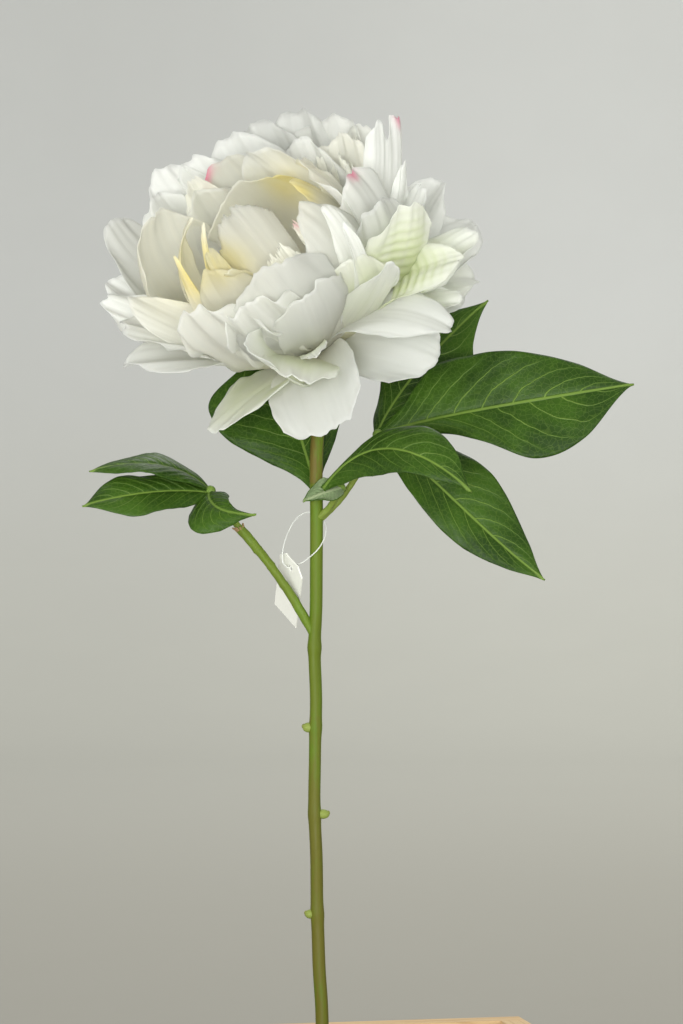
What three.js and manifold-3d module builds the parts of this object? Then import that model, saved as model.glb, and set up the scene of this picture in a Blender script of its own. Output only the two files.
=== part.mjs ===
// Potted peony: one double white flower on a leafy stem, planted in a square wooden planter.
// Millimetres, +Z up, origin at the centre of the planter's underside.
import * as THREE from 'three';
import { mergeVertices } from 'three/addons/utils/BufferGeometryUtils.js';
import Module from 'manifold-3d';

const wasm = await Module();
wasm.setup();

// Driving dimensions
const GAP = 0.3;
const PLANTER_SIDE = 246;
const PLANTER_HEIGHT = 143;
const BOARD = 12;
const POST = 16;
const POST_BELOW_RIM = 25;
const BOARDS_PER_WALL = 2;
const DRAIN_RADIUS = 5;
const DRAIN_OFFSET = 58;
const SOIL_TOP = 125;
const SOIL_RELIEF = 2.5;
const SOIL_CELLS = 10;
const PLANTING_DEPTH = 60;
const STEM_RADIUS = 2.95;
const STEM_SIDES = 10;
const BRANCH_RADIUS = 2.1;
const PETIOLE_RADIUS = 1.5;
const COLLAR_RADIUS = 2.6;
const LEAF_THICKNESS = 0.8;
const PETAL_THICKNESS = 0.9;
const CALYX_RADIUS = 11;
const TAG_SIZE = { width: 18, height: 35, thickness: 0.6, corner: 4, hole: 1.7, holeInset: 5 };
const LOOP_RADIUS = 0.4;
const LEAF_CELLS = [4, 7];
const LEAF_TIP = 0.4;
const SEPALS = { count: 5, length: 15, width: 12, droop: 0.55, cells: [2, 3] };
// The crowded heart of the flower: lobes [x, y, z, radius] from the receptacle, and the cup it opens to
const BLOOM_LOBES = [[-8, -12, 24, 44], [27, 5, 45, 42], [0, 14, 56, 39]];
const BLOOM_CUP = [-34, -50, 48, 27];
const BLOOM_FLOOR = -1.4;
// Middle of the hang tag, the ways across and up it, and the route of its loop through the eyelet and
// round the stem
const TAG_PLACE = [-15.3, 8, 357.6];
const TAG_ACROSS = new THREE.Vector3(0.55, -0.583, -0.6).normalize();
const TAG_UP = new THREE.Vector3(0.092, -0.67, 0.736).normalize();
const LOOP_PATH = [
  [-14.1, -0.85, 367.3], [-15.4, -1.6, 366.9], [-17.6, -2.2, 368.9], [-18, -1.8, 373],
  [-17.2, -0.4, 378], [-15.4, 1.2, 383], [-12.6, 2.6, 388], [-9, 3.8, 391.2], [-5.7, 4.2, 391.8],
  [-2.6, 4, 390], [0.7, 2.5, 387.6], [1.6, 0, 384], [0.5, -2.3, 379.3], [-2.4, -3.8, 374.8],
  [-5.6, -3.1, 371.9], [-9, -1.8, 369.4], [-12.6, -0.1, 367.9],
];

// The plant stands in the planter turned a little against the boards
const PLANT_TURN = THREE.MathUtils.degToRad(-11.5);
// Where all petals spring from, and the way the flower looks
const RECEPTACLE = new THREE.Vector3(-4, 0, 465);
const BLOOM_AXIS = new THREE.Vector3(-0.5, -0.5, 0.7).normalize();
const FLOWER_TILT = new THREE.Quaternion().setFromUnitVectors(new THREE.Vector3(0, 0, 1), BLOOM_AXIS);

const COLOURS = {
  wood: 0xcdaa78, soil: 0x3b2a1e, stem: 0x66802f, leaf: 0x33591f, leafPale: 0x8fa088,
  petal: 0xe4e5dc, calyx: 0x5f7f35, card: 0xd8dacb, filament: 0xe6e8e6,
};

// Meshes and solids
const parts = new THREE.Group();
const plant = new THREE.Group();
plant.rotation.z = PLANT_TURN;
parts.add(plant);

function place(name, geometry, colour, roughness, parent = parts) {
  const material = new THREE.MeshStandardMaterial({ color: colour, roughness, metalness: 0 });
  const mesh = new THREE.Mesh(geometry, material);
  mesh.name = name;
  parent.add(mesh);
  return mesh;
}

function toSolid(geometry) {
  geometry.deleteAttribute('normal');
  geometry.deleteAttribute('uv');
  const merged = mergeVertices(geometry, 1e-4);
  return new wasm.Manifold(new wasm.Mesh({
    numProp: 3,
    vertProperties: new Float32Array(merged.attributes.position.array),
    triVerts: new Uint32Array(merged.index.array),
  }));
}

function toGeometry(solid) {
  const mesh = solid.getMesh();
  const geometry = new THREE.BufferGeometry();
  geometry.setAttribute('position', new THREE.BufferAttribute(mesh.vertProperties, 3));
  geometry.setIndex(new THREE.BufferAttribute(mesh.triVerts, 1));
  geometry.computeVertexNormals();
  return geometry;
}

// The outer skin of the largest piece: scraps and sealed hollows fall away
function wholePiece(solid) {
  const pieces = solid.decompose();
  return pieces.reduce((best, piece) => (piece.volume() > best.volume() ? piece : best));
}

function join(solids) {
  return solids.reduce((sum, solid) => sum.add(solid));
}

function box(width, depth, height, x, y, z) {
  return new THREE.BoxGeometry(width, depth, height).translate(x, y, z + height / 2);
}

function rod(points, radius, steps, sides = STEM_SIDES) {
  const section = new THREE.Shape().absarc(0, 0, radius, 0, 2 * Math.PI);
  const extrudePath = new THREE.CatmullRomCurve3(points.map((point) => new THREE.Vector3(...point)));
  return toSolid(new THREE.ExtrudeGeometry(section, { steps, extrudePath, curveSegments: sides / 2 }));
}

function ball(radius, point, scale = [1, 1, 1]) {
  return toSolid(new THREE.SphereGeometry(radius, 8, 5).scale(...scale).translate(...point));
}

// A closed blade from a grid of points: its two faces lie half the thickness off the grid
function blade(grid, thickness) {
  const rows = grid.length;
  const columns = grid[0].length;
  const at = (i, j) => grid[Math.min(rows - 1, Math.max(0, i))][Math.min(columns - 1, Math.max(0, j))];
  const positions = [];
  for (const side of [1, -1]) {
    for (let i = 0; i < rows; i += 1) {
      for (let j = 0; j < columns; j += 1) {
        const across = at(i + 1, j).clone().sub(at(i - 1, j));
        const along = at(i, j + 1).clone().sub(at(i, j - 1));
        const normal = across.cross(along).normalize();
        positions.push(...at(i, j).clone().addScaledVector(normal, (side * thickness) / 2));
      }
    }
  }
  const index = [];
  const upper = (i, j) => i * columns + j;
  const lower = (i, j) => rows * columns + i * columns + j;
  for (let i = 0; i < rows - 1; i += 1) {
    for (let j = 0; j < columns - 1; j += 1) {
      index.push(upper(i, j), upper(i + 1, j), upper(i + 1, j + 1));
      index.push(upper(i, j), upper(i + 1, j + 1), upper(i, j + 1));
      index.push(lower(i, j), lower(i + 1, j + 1), lower(i + 1, j));
      index.push(lower(i, j), lower(i, j + 1), lower(i + 1, j + 1));
    }
  }
  const rim = [];
  for (let i = 0; i < rows - 1; i += 1) rim.push([i, 0]);
  for (let j = 0; j < columns - 1; j += 1) rim.push([rows - 1, j]);
  for (let i = rows - 1; i > 0; i -= 1) rim.push([i, columns - 1]);
  for (let j = columns - 1; j > 0; j -= 1) rim.push([0, j]);
  rim.forEach((here, k) => {
    const next = rim[(k + 1) % rim.length];
    index.push(upper(...here), lower(...here), lower(...next));
    index.push(upper(...here), lower(...next), upper(...next));
  });
  const geometry = new THREE.BufferGeometry();
  geometry.setAttribute('position', new THREE.BufferAttribute(new Float32Array(positions), 3));
  geometry.setIndex(index);
  return toSolid(geometry);
}

// Petals. A petal's spine leaves the receptacle square to the flower's axis and bends up, or over,
// to its tip; the blade bends across the spine and waves towards its end.
const PETAL_USUAL = {
  width: 40, cup: 25, bow: 1, curl: 1, ruffle: 1.5, waves: 3, phase: 0, round: 0.2, notch: 0,
  full: 0.65, neck: 0.3, roll: 0, rise: 10, root: 6, cells: [3, 3],
};

const PETALS = [
  // Outer petals
  { tip: [9, -72, -39], width: 44, cup: 20, ruffle: 1, round: 0.14, notch: 0.03, full: 0.6, bow: 0.9,
    rise: 32, cells: [3, 4] },
  { tip: [55, -44, -7], width: 38, cup: 12, ruffle: 1.2, full: 0.72, bow: 0.7, rise: 32,
    face: [-0.2, -0.9, 0.35], cells: [3, 4] },
  { tip: [62, -54, 8], width: 30, cup: 14, curl: 3, ruffle: 1, round: 0.3, full: 0.7, rise: 45,
    face: [0, -0.8, 0.6], cells: [3, 4] },
  { tip: [-43, -52, -39], width: 38, cup: 14, curl: 0, ruffle: 0.6, round: 0.5, full: 0.5, bow: 0.9,
    rise: 25, cells: [3, 4] },
  { tip: [-82, -46, -6], width: 36, cup: 20, curl: 3, ruffle: 2.5, round: 0.25, full: 0.7, bow: 0.6,
    roll: -5, rise: 42, cells: [3, 4] },
  { tip: [-94, -10, 23], width: 22, curl: 4, ruffle: 3, full: 0.7, rise: 35, waves: 4,
    face: [-0.3, -0.9, 0.3], cells: [3, 4] },
  { tip: [-82, -42, 13], width: 30, curl: 5, ruffle: 3, full: 0.7, bow: 0.8, roll: -20, rise: 38, waves: 4,
    cells: [3, 4] },
  { tip: [-92, 8, 33], curl: 4, ruffle: 3, full: 0.7, waves: 4 },
  { tip: [-90, 0, 59], width: 44, cup: 35, curl: 3, ruffle: 2, round: 0.3, full: 0.6 },
  { tip: [69, 2, 28], width: 36, cup: 20, curl: 3, round: 0.25, full: 0.7, bow: 0.6, roll: 20 },
  { tip: [75, 10, 36], width: 42, curl: 3, ruffle: 2.5, round: 0.3, full: 0.7, bow: 0.8, roll: 20 },
  // Front and left wall of the cup
  { tip: [-73, -22, 58], width: 66, cup: 50, curl: 0, round: 0.22, bow: 1.1, cells: [3, 4] },
  { tip: [-51, -80, 16], width: 46, curl: 3, ruffle: 3, rise: 25, waves: 4, cells: [3, 4] },
  { tip: [-29, -88, 17], curl: 2, ruffle: 3, round: 0.15, rise: 28, waves: 4, cells: [3, 4] },
  { tip: [-80, -52, 20], width: 25, cup: 35, curl: 2, round: 0.4, full: 0.8, bow: 0.6, rise: 38,
    face: [-0.3, -0.9, 0.3] },
  { tip: [-26, -90, 1], width: 22, cup: 45, curl: -3, round: 0.5, full: 0.5, rise: 30,
    face: [0.3, -1, 0.3] },
  { tip: [-6, -82, -16], width: 26, cup: 20, ruffle: 0.6, round: 0.25, full: 0.6, rise: 34 },
  { tip: [2, -88, -6], width: 14, cup: 20, ruffle: 0.5, round: 0.3, full: 0.6, rise: 34, cells: [2, 3] },
  // Upright and folded petals in the middle
  { tip: [14, -66, 37], width: 36, cup: 40, curl: 2, full: 0.6, roll: -40 },
  { tip: [33, -82, 35], width: 23, cup: 40, curl: 2, round: 0.3, full: 0.55, roll: -40, rise: 20 },
  { tip: [0, -88, 20], width: 42, cup: 35, curl: -2, full: 0.6, rise: 28 },
  { tip: [-21, -90, 30], width: 56, cup: 30, curl: -2, rise: 25, cells: [3, 4] },
  { tip: [-6, -66, 60], width: 46, cup: 30, curl: -2, round: 0.4, full: 0.6, bow: 1.1, roll: -10,
    rise: 15 },
  { tip: [4, -72, 59], width: 26, cup: 30, curl: 0, ruffle: 1.2, round: 0.6, full: 0.55, bow: 1.1,
    roll: -15, rise: 15 },
  { tip: [13, -77, 51], width: 14, cup: 30, curl: 0, round: 0.55, full: 0.6, bow: 1.1, roll: -20,
    rise: 15 },
  { tip: [14, -48, 73], width: 50, cup: 30, curl: 0, round: 0.15, bow: 1.1, roll: -35 },
  { tip: [24, -56, 60], width: 44, cup: 30, curl: 2, ruffle: 2, round: 0.12, bow: 1.1, roll: -35 },
  { tip: [32, -14, 105], width: 30, curl: 0, ruffle: 1.2, round: 0.06, notch: 0.1, full: 0.5, roll: -70 },
  { tip: [40, -26, 83], width: 16, curl: 0, ruffle: 1.2, round: 0.3, full: 0.55, roll: -60, cells: [2, 3] },
  // Right wall of the cup
  { tip: [40, -70, 61], width: 35, cup: 35, curl: 2, full: 0.6, roll: -50 },
  { tip: [47, -28, 72], cup: 30, curl: 2, ruffle: 2, full: 0.6 },
  { tip: [57, 0, 78], width: 38, cup: 30, curl: 2, ruffle: 3, round: 0.25, full: 0.6, roll: 20 },
  { tip: [74, 0, 58], width: 42, curl: 3, ruffle: 3, full: 0.7, roll: 25 },
  { tip: [71, -30, 52], width: 32, cup: 30, curl: 3, ruffle: 2, round: 0.25, roll: 20 },
  { tip: [65, -50, 39], width: 28, cup: 30, curl: 2, ruffle: 2, roll: 15, rise: 30 },
  { tip: [66, -30, 24], width: 22, curl: 2, ruffle: 2, round: 0.25, roll: 10 },
  // Back wall of the cup
  { tip: [-58, 26, 89], width: 44, cup: 30, curl: 2, ruffle: 3, waves: 4 },
  { tip: [-71, 22, 84], width: 44, cup: 30, curl: 3, ruffle: 3, waves: 4 },
  { tip: [-72, 12, 70], width: 42, cup: 30, curl: 3, ruffle: 3, waves: 4 },
  { tip: [-41, 34, 101], width: 50, cup: 30, curl: 2, ruffle: 3, round: 0.18, waves: 4 },
  { tip: [-30, 44, 108], width: 48, cup: 30, curl: 2, ruffle: 3, round: 0.18, waves: 4 },
  { tip: [-12, 44, 114], width: 50, cup: 30, curl: 2, ruffle: 3, round: 0.18, waves: 4 },
  { tip: [6, 34, 110], width: 58, cup: 35, curl: 0, ruffle: 3, round: 0.12, waves: 4 },
  { tip: [20, 20, 105], width: 48, cup: 35, curl: 0, ruffle: 2.5, round: 0.15 },
  // Heart
  { tip: [-42, 4, 87], width: 50, cup: 45, curl: 0, ruffle: 2, round: 0.1, full: 0.7 },
  { tip: [-29, -14, 80], width: 74, cup: 50, curl: -4, ruffle: 2, round: 0.1, full: 0.7 },
  { tip: [-56, -4, 77], width: 26, cup: 40, curl: 0, ruffle: 2 },
  { tip: [13, 8, 100], width: 46, cup: 35, curl: 0, ruffle: 2.5, round: 0.15 },
  { tip: [-38, -62, 59], width: 30, curl: -2, ruffle: 1.2, round: 0.12, full: 0.9, neck: 0.15, bow: 0.6,
    face: [-0.3, 0.9, 0.3] },
  { tip: [-11, -38, 72], width: 32, cup: 40, curl: 0, ruffle: 1.2, round: 0.5, full: 0.6, roll: -30 },
  { tip: [0, -28, 78], width: 30, cup: 35, curl: 0, round: 0.4, full: 0.6, roll: -50 },
  { tip: [-46, -68, 40], width: 17, cup: 35, curl: -2, round: 0.35, full: 0.9, neck: 0.12, bow: 0.5 },
  { tip: [-59, -54, 38], width: 12, cup: 35, curl: 0, round: 0.4, full: 0.7, bow: 0.6, cells: [2, 3] },
  { tip: [-53, -38, 56], width: 26, cup: 35, curl: 0, round: 0.3, full: 0.7, bow: 0.8 },
  { tip: [-60, -58, 39], width: 9, cup: 30, curl: 0, ruffle: 0.8, round: 0.6, full: 0.6, bow: 0.5,
    cells: [2, 3] },
  { tip: [-45, -70, 31], width: 36, cup: 30, curl: -2, round: 0.3, full: 0.85, bow: 0.6, rise: 20 },
  { tip: [-48, -46, 54], width: 9, cup: 30, curl: 0, ruffle: 0.8, round: 0.5, full: 0.7, bow: 0.5,
    cells: [2, 3] },
  { tip: [-37, -76, 30], width: 20, cup: 20, curl: 0, ruffle: 0.8, round: 0.55, full: 0.5, bow: 1.6,
    rise: 75, cells: [2, 3] },
  { tip: [-20, -72, 39], width: 17, curl: 0, ruffle: 1.2, round: 0.3, full: 0.7, bow: 0.6, cells: [2, 3] },
  { tip: [-16, -70, 43], width: 20, curl: 0, ruffle: 1.2, round: 0.3, full: 0.7, bow: 0.6, cells: [2, 3] },
  { tip: [-11, -58, 54], width: 14, curl: 0, ruffle: 1.2, round: 0.35, full: 0.7, bow: 0.8, cells: [2, 3] },
];

function petalSpine(petal) {
  const axis = BLOOM_AXIS;
  const tip = new THREE.Vector3(...petal.tip);
  const outward = tip.clone().addScaledVector(axis, -tip.dot(axis)).normalize();
  const base = outward.clone().multiplyScalar(petal.root);
  const chord = tip.clone().sub(base);
  const length = chord.length();
  chord.normalize();
  const rise = THREE.MathUtils.degToRad(petal.rise);
  const start = outward.clone().multiplyScalar(Math.cos(rise)).addScaledVector(axis, Math.sin(rise));
  const turn = Math.acos(start.dot(chord));
  const end = chord.clone().multiplyScalar(2 * start.dot(chord)).sub(start);
  const reach = (length * 0.333) / Math.max(0.45, Math.cos(turn / 2) ** 2);
  const facing = petal.face ? new THREE.Vector3(...petal.face) : axis.clone();
  facing.addScaledVector(chord, -facing.dot(chord)).normalize();
  facing.applyAxisAngle(chord, THREE.MathUtils.degToRad(petal.roll));
  const bow = (direction) => direction.multiplyScalar(petal.bow).addScaledVector(chord, 1 - petal.bow);
  const curve = new THREE.CubicBezierCurve3(
    base,
    base.clone().addScaledVector(bow(start), reach),
    tip.clone().addScaledVector(bow(end), -reach),
    tip,
  );
  return { curve, across: chord.clone().cross(facing) };
}

function petalPoint(petal, spine, u, v) {
  const edge = Math.abs(u);
  const w = v * (1 - petal.round * edge ** 2.4 - petal.notch * Math.exp(-((u / 0.2) ** 2)));
  const point = spine.curve.getPoint(w);
  const along = spine.curve.getTangent(w);
  const inward = spine.across.clone().cross(along).normalize();
  const across = along.clone().cross(inward);
  const swell = Math.sin((Math.PI / 2) * Math.min(1, w / petal.full)) ** 0.85;
  const taper = Math.max(0, (w - petal.full) / (1.0001 - petal.full)) ** 2;
  const half = (petal.width / 2) * (petal.neck + (1 - petal.neck) * swell) * (1 - 0.22 * taper);
  const bend = THREE.MathUtils.degToRad(petal.cup);
  const curl = Math.max(0, (v - 0.6) / 0.4) ** 2;
  const wave = Math.sin((Math.PI * petal.waves * u) / 1.6 + petal.phase) * (0.35 + 0.65 * edge) * v ** 2;
  const flutter = edge ** 3 * Math.sin(2.6 * petal.waves * v + 2.1 * petal.phase) * Math.min(1, 2 * v);
  const lift = (half * (1 - Math.cos(bend * u))) / bend - petal.curl * curl
    + petal.ruffle * (wave + 0.7 * flutter);
  return point.addScaledVector(across, (half * Math.sin(bend * u)) / bend)
    .addScaledVector(inward, lift).add(RECEPTACLE);
}

function petalSolid(row, number) {
  const petal = { ...PETAL_USUAL, phase: number * 2.4, ...row };
  const spine = petalSpine(petal);
  const [columns, steps] = petal.cells;
  const grid = [];
  for (let i = 0; i <= columns; i += 1) {
    const line = [];
    for (let j = 0; j <= steps; j += 1) {
      line.push(petalPoint(petal, spine, (2 * i) / columns - 1, j / steps));
    }
    grid.push(line);
  }
  return blade(grid, PETAL_THICKNESS);
}

// Rings of petals on the side turned away: radius and height about the axis, then the arc they fill
const REAR_RINGS = [
  { radius: 80, height: 6, count: 6, from: 162, to: 258, width: 52 },
  { radius: 80, height: 34, count: 7, from: 142, to: 255, width: 50 },
  { radius: 66, height: 62, count: 4, from: 150, to: 230, width: 46 },
  { radius: 42, height: 80, count: 3, from: 185, to: 275, width: 44 },
];
// Counted on from here, the rear petals get their own small turns and lengths
const REAR_NUMBER = 54;

function rearPetals() {
  const axis = BLOOM_AXIS;
  const forward = new THREE.Vector3(0, -1, 0);
  forward.addScaledVector(axis, -forward.dot(axis)).normalize();
  const left = forward.clone().cross(axis);
  const petals = [];
  for (const ring of REAR_RINGS) {
    for (let k = 0; k < ring.count; k += 1) {
      const n = REAR_NUMBER + petals.length;
      const turn = ring.from + ((ring.to - ring.from) * k) / (ring.count - 1) + 6 * Math.sin(12.9 * n);
      const angle = THREE.MathUtils.degToRad(turn);
      const tip = forward.clone().multiplyScalar(Math.cos(angle)).addScaledVector(left, Math.sin(angle));
      tip.multiplyScalar(ring.radius + 4 * Math.sin(7.3 * n));
      tip.addScaledVector(axis, ring.height + 5 * Math.sin(3.7 * n));
      petals.push({
        tip: tip.toArray(), width: ring.width + 4 * Math.sin(5.1 * n),
        cup: 22, curl: 3, ruffle: 2.5, waves: 4,
      });
    }
  }
  return petals;
}

function lobe([x, y, z, radius]) {
  return toSolid(new THREE.SphereGeometry(radius, 14, 9).translate(x, y, z).translate(...RECEPTACLE));
}

// A round block that leaves the flower a flat seat over the calyx
function spaceBelow(radius) {
  const depth = 2 * BLOOM_LOBES[0][3];
  const block = new THREE.CylinderGeometry(radius, radius, depth, 16).rotateX(Math.PI / 2);
  block.translate(0, 0, BLOOM_FLOOR - depth / 2).applyQuaternion(FLOWER_TILT).translate(...RECEPTACLE);
  return toSolid(block);
}

function bloom() {
  const rows = [...PETALS, ...rearPetals()];
  const core = join(BLOOM_LOBES.map(lobe)).subtract(lobe(BLOOM_CUP));
  const heart = core.subtract(spaceBelow(2 * BLOOM_LOBES[0][3]));
  const flower = join([heart, ...rows.map(petalSolid)]);
  return wholePiece(flower.subtract(spaceBelow(CALYX_RADIUS + 2 * GAP)));
}

// Green cup and its sepals under the petals
function calyx() {
  const profile = [[0, -16], [4.6, -15], [6, -10], [CALYX_RADIUS, -2], [0, -2]];
  const points = profile.map(([radius, height]) => new THREE.Vector2(radius, height));
  const cup = new THREE.LatheGeometry(points, 16).rotateX(Math.PI / 2);
  const solids = [toSolid(cup.applyQuaternion(FLOWER_TILT).translate(...RECEPTACLE))];
  for (let k = 0; k < SEPALS.count; k += 1) {
    const turn = (2 * Math.PI * k) / SEPALS.count;
    const grid = [];
    for (let i = 0; i <= SEPALS.cells[0]; i += 1) {
      const u = (2 * i) / SEPALS.cells[0] - 1;
      const line = [];
      for (let j = 0; j <= SEPALS.cells[1]; j += 1) {
        const v = j / SEPALS.cells[1];
        const half = (SEPALS.width / 2) * Math.sin(Math.PI * (0.15 + 0.8 * v)) ** 0.7;
        const reach = 4 + SEPALS.length * v * (1 - 0.15 * u * u);
        const point = new THREE.Vector3(reach, u * half, -5.5 - reach * SEPALS.droop + 1.5 * u * u);
        point.applyAxisAngle(new THREE.Vector3(0, 0, 1), turn).applyQuaternion(FLOWER_TILT);
        line.push(point.add(RECEPTACLE));
      }
      grid.push(line);
    }
    solids.push(blade(grid, LEAF_THICKNESS));
  }
  return join(solids);
}

// Stem, branch, leaf stalks and buds, all one length of moulded stem
const STEM_PATH = [
  [0, 0, SOIL_TOP - PLANTING_DEPTH], [0, 0, 150], [-0.4, 0, 170], [-1.6, 0, 190], [-2.4, 0, 212],
  [-2.8, 0, 236], [-3.6, 0, 262], [-3.3, 0, 285], [-3, 0, 307], [-3.6, 0, 332], [-2.8, 0, 352],
  [-2.7, 0, 390], [-2.7, 0, 420], [-1, 3, 438], [3, 7, 453.5],
];
const BRANCH_PATH = [
  [-3.3, 0, 336], [-12, -0.5, 351], [-22, -1, 366], [-31, -1.5, 377.5], [-37.5, -2, 385],
];
const LEFT_STALK = [[-36.5, -2, 383.5], [-42, -0.5, 391], [-47, 0, 397], [-50.5, 0, 401.5]];
const RIGHT_STALK = [[-2, 0, 388], [5, 1, 394.5], [12, 2, 403], [19, 3.5, 415], [25, 5, 427]];
const FRONT_STALK = [[-2, -1, 389], [3, -3, 394], [6, -5.5, 399], [8, -7.5, 402.8]];
const BUDS = [
  { at: [-6.2, 0, 295], radius: 2.4, scale: [1.2, 1, 1] },
  { at: [0.2, 0, 256], radius: 2.3, scale: [1.3, 1, 1] },
  { at: [-5.4, 0, 211], radius: 2.2, scale: [1.2, 1, 1] },
  { at: [-3.6, 0, 331], radius: 3.5, scale: [1, 1, 0.7] },
];

function stemSolid(extra) {
  const solids = [
    rod(STEM_PATH, STEM_RADIUS + extra, 26),
    rod(BRANCH_PATH, BRANCH_RADIUS + extra, 6, 8),
    rod(LEFT_STALK, PETIOLE_RADIUS + extra, 4, 8),
    rod(RIGHT_STALK, PETIOLE_RADIUS + extra, 5, 8),
    rod(FRONT_STALK, PETIOLE_RADIUS + extra, 4, 8),
    ...BUDS.map((bud) => ball(bud.radius + extra, bud.at, bud.scale)),
  ];
  return wholePiece(join(solids));
}

// Leaves: a bent midrib with half widths, at even steps along it, to its left and its right
const LEAVES = {
  leaf_right: [
    { // large leaflet reaching right
      rib: [[25, 5, 427.2], [47.5, 0, 434.8], [88.7, -3, 441.4], [139.5, -8, 449.3]],
      up: [0.1, -0.93, 0.35],
      left: [2, 9, 25, 26, 23, 15, 0],
      right: [1.5, 3.4, 7, 17, 28, 22, 0],
      fold: 10, wave: 2.5, phase: 0,
    },
    { // lower leaflet hanging right
      rib: [[25.5, 4, 425.8], [42.9, -4, 416.2], [73.1, -12, 380.4], [99.3, -14, 361.7]],
      up: [0.2, -0.9, 0.35],
      left: [1.5, 9, 18, 21, 17.5, 10, 0],
      right: [1.5, 6, 12, 15, 13.5, 8, 0],
      fold: 12, wave: 1.5, phase: 1,
    },
    { // upper leaflet behind the flower
      rib: [[25, 6, 428.1], [30.2, 18, 440.7], [44.7, 34, 462], [76.1, 36, 489.7]],
      up: [-0.3, -0.9, 0.3],
      left: [2, 6, 9, 15, 17, 11, 0],
      right: [2, 8, 13, 21, 25.5, 11, 0],
      fold: 8, wave: 1.5, phase: 2,
    },
  ],
  leaf_front: [
    { // arching leaflet in front
      rib: [[0.3, -15, 402.2], [15.8, -27, 423.8], [35.9, -44, 427.8], [65.2, -52, 400.7]],
      up: [0, -0.85, 0.52],
      left: [1.5, 2.5, 5.5, 11.5, 16, 11, 0],
      right: [1.5, 8, 12, 13, 11.5, 7, 0],
      fold: 10, wave: 1.5, phase: 3,
    },
    { // small leaflet turned face down
      rib: [[8.3, -9, 402.7], [4.3, -14, 401.8], [-1, -17, 400.5], [-8.6, -18, 396.4]],
      up: [0, 0.85, -0.5],
      left: [1.5, 4.5, 6, 6, 4.5, 2.5, 0],
      right: [1.5, 4.5, 6, 6, 4.5, 2.5, 0],
      fold: 8, wave: 0.5, phase: 0,
    },
  ],
  leaf_rear: [
    { // broad leaf behind the stem
      rib: [[-2.9, 2, 401], [-7.6, 14, 420.2], [-15, 24, 443.2], [-27.9, 30, 468.7]],
      up: [0, -0.92, 0.38],
      left: [1.5, 8, 20, 32, 35.5, 31, 0],
      right: [1.5, 6, 15, 22, 22, 12, 0],
      fold: 8, wave: 1.5, phase: 1,
    },
  ],
  leaf_left: [
    { // upper leaflet
      rib: [[-50.2, 0, 401.4], [-64, -2, 414.9], [-82.7, -5, 416.2], [-104.5, -8, 410.4]],
      up: [0, -0.35, 0.94],
      left: [1, 8, 11, 12.5, 11, 6, 0],
      right: [1, 8, 12, 14, 12, 7, 0],
      fold: 10, wave: 1, phase: 0,
    },
    { // lower leaflet
      rib: [[-50.1, -1, 400.5], [-65.5, -9, 402.7], [-85.2, -15, 400.9], [-106.7, -19, 394.7]],
      up: [0, -0.75, 0.66],
      left: [1, 7, 10, 12, 12.5, 7, 0],
      right: [1, 7, 10, 11, 12.5, 8, 0],
      fold: 12, wave: 1, phase: 2,
    },
    { // leaflet turned to the front
      rib: [[-51, -1, 401.4], [-51.9, -14, 395.6], [-44.3, -26, 390.2], [-29.2, -30, 391.1]],
      up: [-0.25, -0.85, 0.45],
      left: [1, 7, 8, 6, 3.5, 2, 0],
      right: [1, 8, 13, 15, 9, 3, 0],
      fold: 10, wave: 1, phase: 1,
    },
  ],
};

// Collars round the ends of the stalks, where the leaflets of a spray meet
const COLLARS = { leaf_right: [25, 5, 427], leaf_front: [8, -7.5, 402.8], leaf_left: [-50.5, 0, 401.5] };

function halfWidth(stations, v) {
  const x = Math.min(0.999999, v) * (stations.length - 1);
  const i = Math.floor(x);
  const f = x - i;
  const at = (k) => stations[Math.min(stations.length - 1, Math.max(0, k))];
  const before = (at(i + 1) - at(i - 1)) / 2;
  const after = (at(i + 2) - at(i)) / 2;
  return Math.max(0, (2 * f ** 3 - 3 * f ** 2 + 1) * at(i) + (f ** 3 - 2 * f ** 2 + f) * before
    + (3 * f ** 2 - 2 * f ** 3) * at(i + 1) + (f ** 3 - f ** 2) * after);
}

function leafletSolid(leaflet) {
  const curve = new THREE.CubicBezierCurve3(...leaflet.rib.map((point) => new THREE.Vector3(...point)));
  const [columns, steps] = LEAF_CELLS;
  const grid = [];
  for (let i = 0; i <= columns; i += 1) {
    const u = (2 * i) / columns - 1;
    const line = [];
    for (let j = 0; j <= steps; j += 1) {
      const v = j / steps;
      const along = curve.getTangent(v);
      const up = new THREE.Vector3(...leaflet.up);
      up.addScaledVector(along, -up.dot(along)).normalize();
      const across = along.clone().cross(up);
      const stations = u < 0 ? leaflet.left : leaflet.right;
      const out = u * Math.max(LEAF_TIP, halfWidth(stations, v));
      const middle = Math.sin(Math.PI * v);
      const ripple = Math.sin(4 * Math.PI * v + leaflet.phase + (u < 0 ? 0 : 1.7));
      const height = Math.abs(out) * Math.tan(THREE.MathUtils.degToRad(leaflet.fold))
        - 3 * Math.abs(u) ** 2.5 * Math.sqrt(middle) + leaflet.wave * u * u * ripple * middle ** 0.6;
      line.push(curve.getPoint(v).addScaledVector(across, out).addScaledVector(up, height));
    }
    grid.push(line);
  }
  return blade(grid, LEAF_THICKNESS);
}

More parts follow.
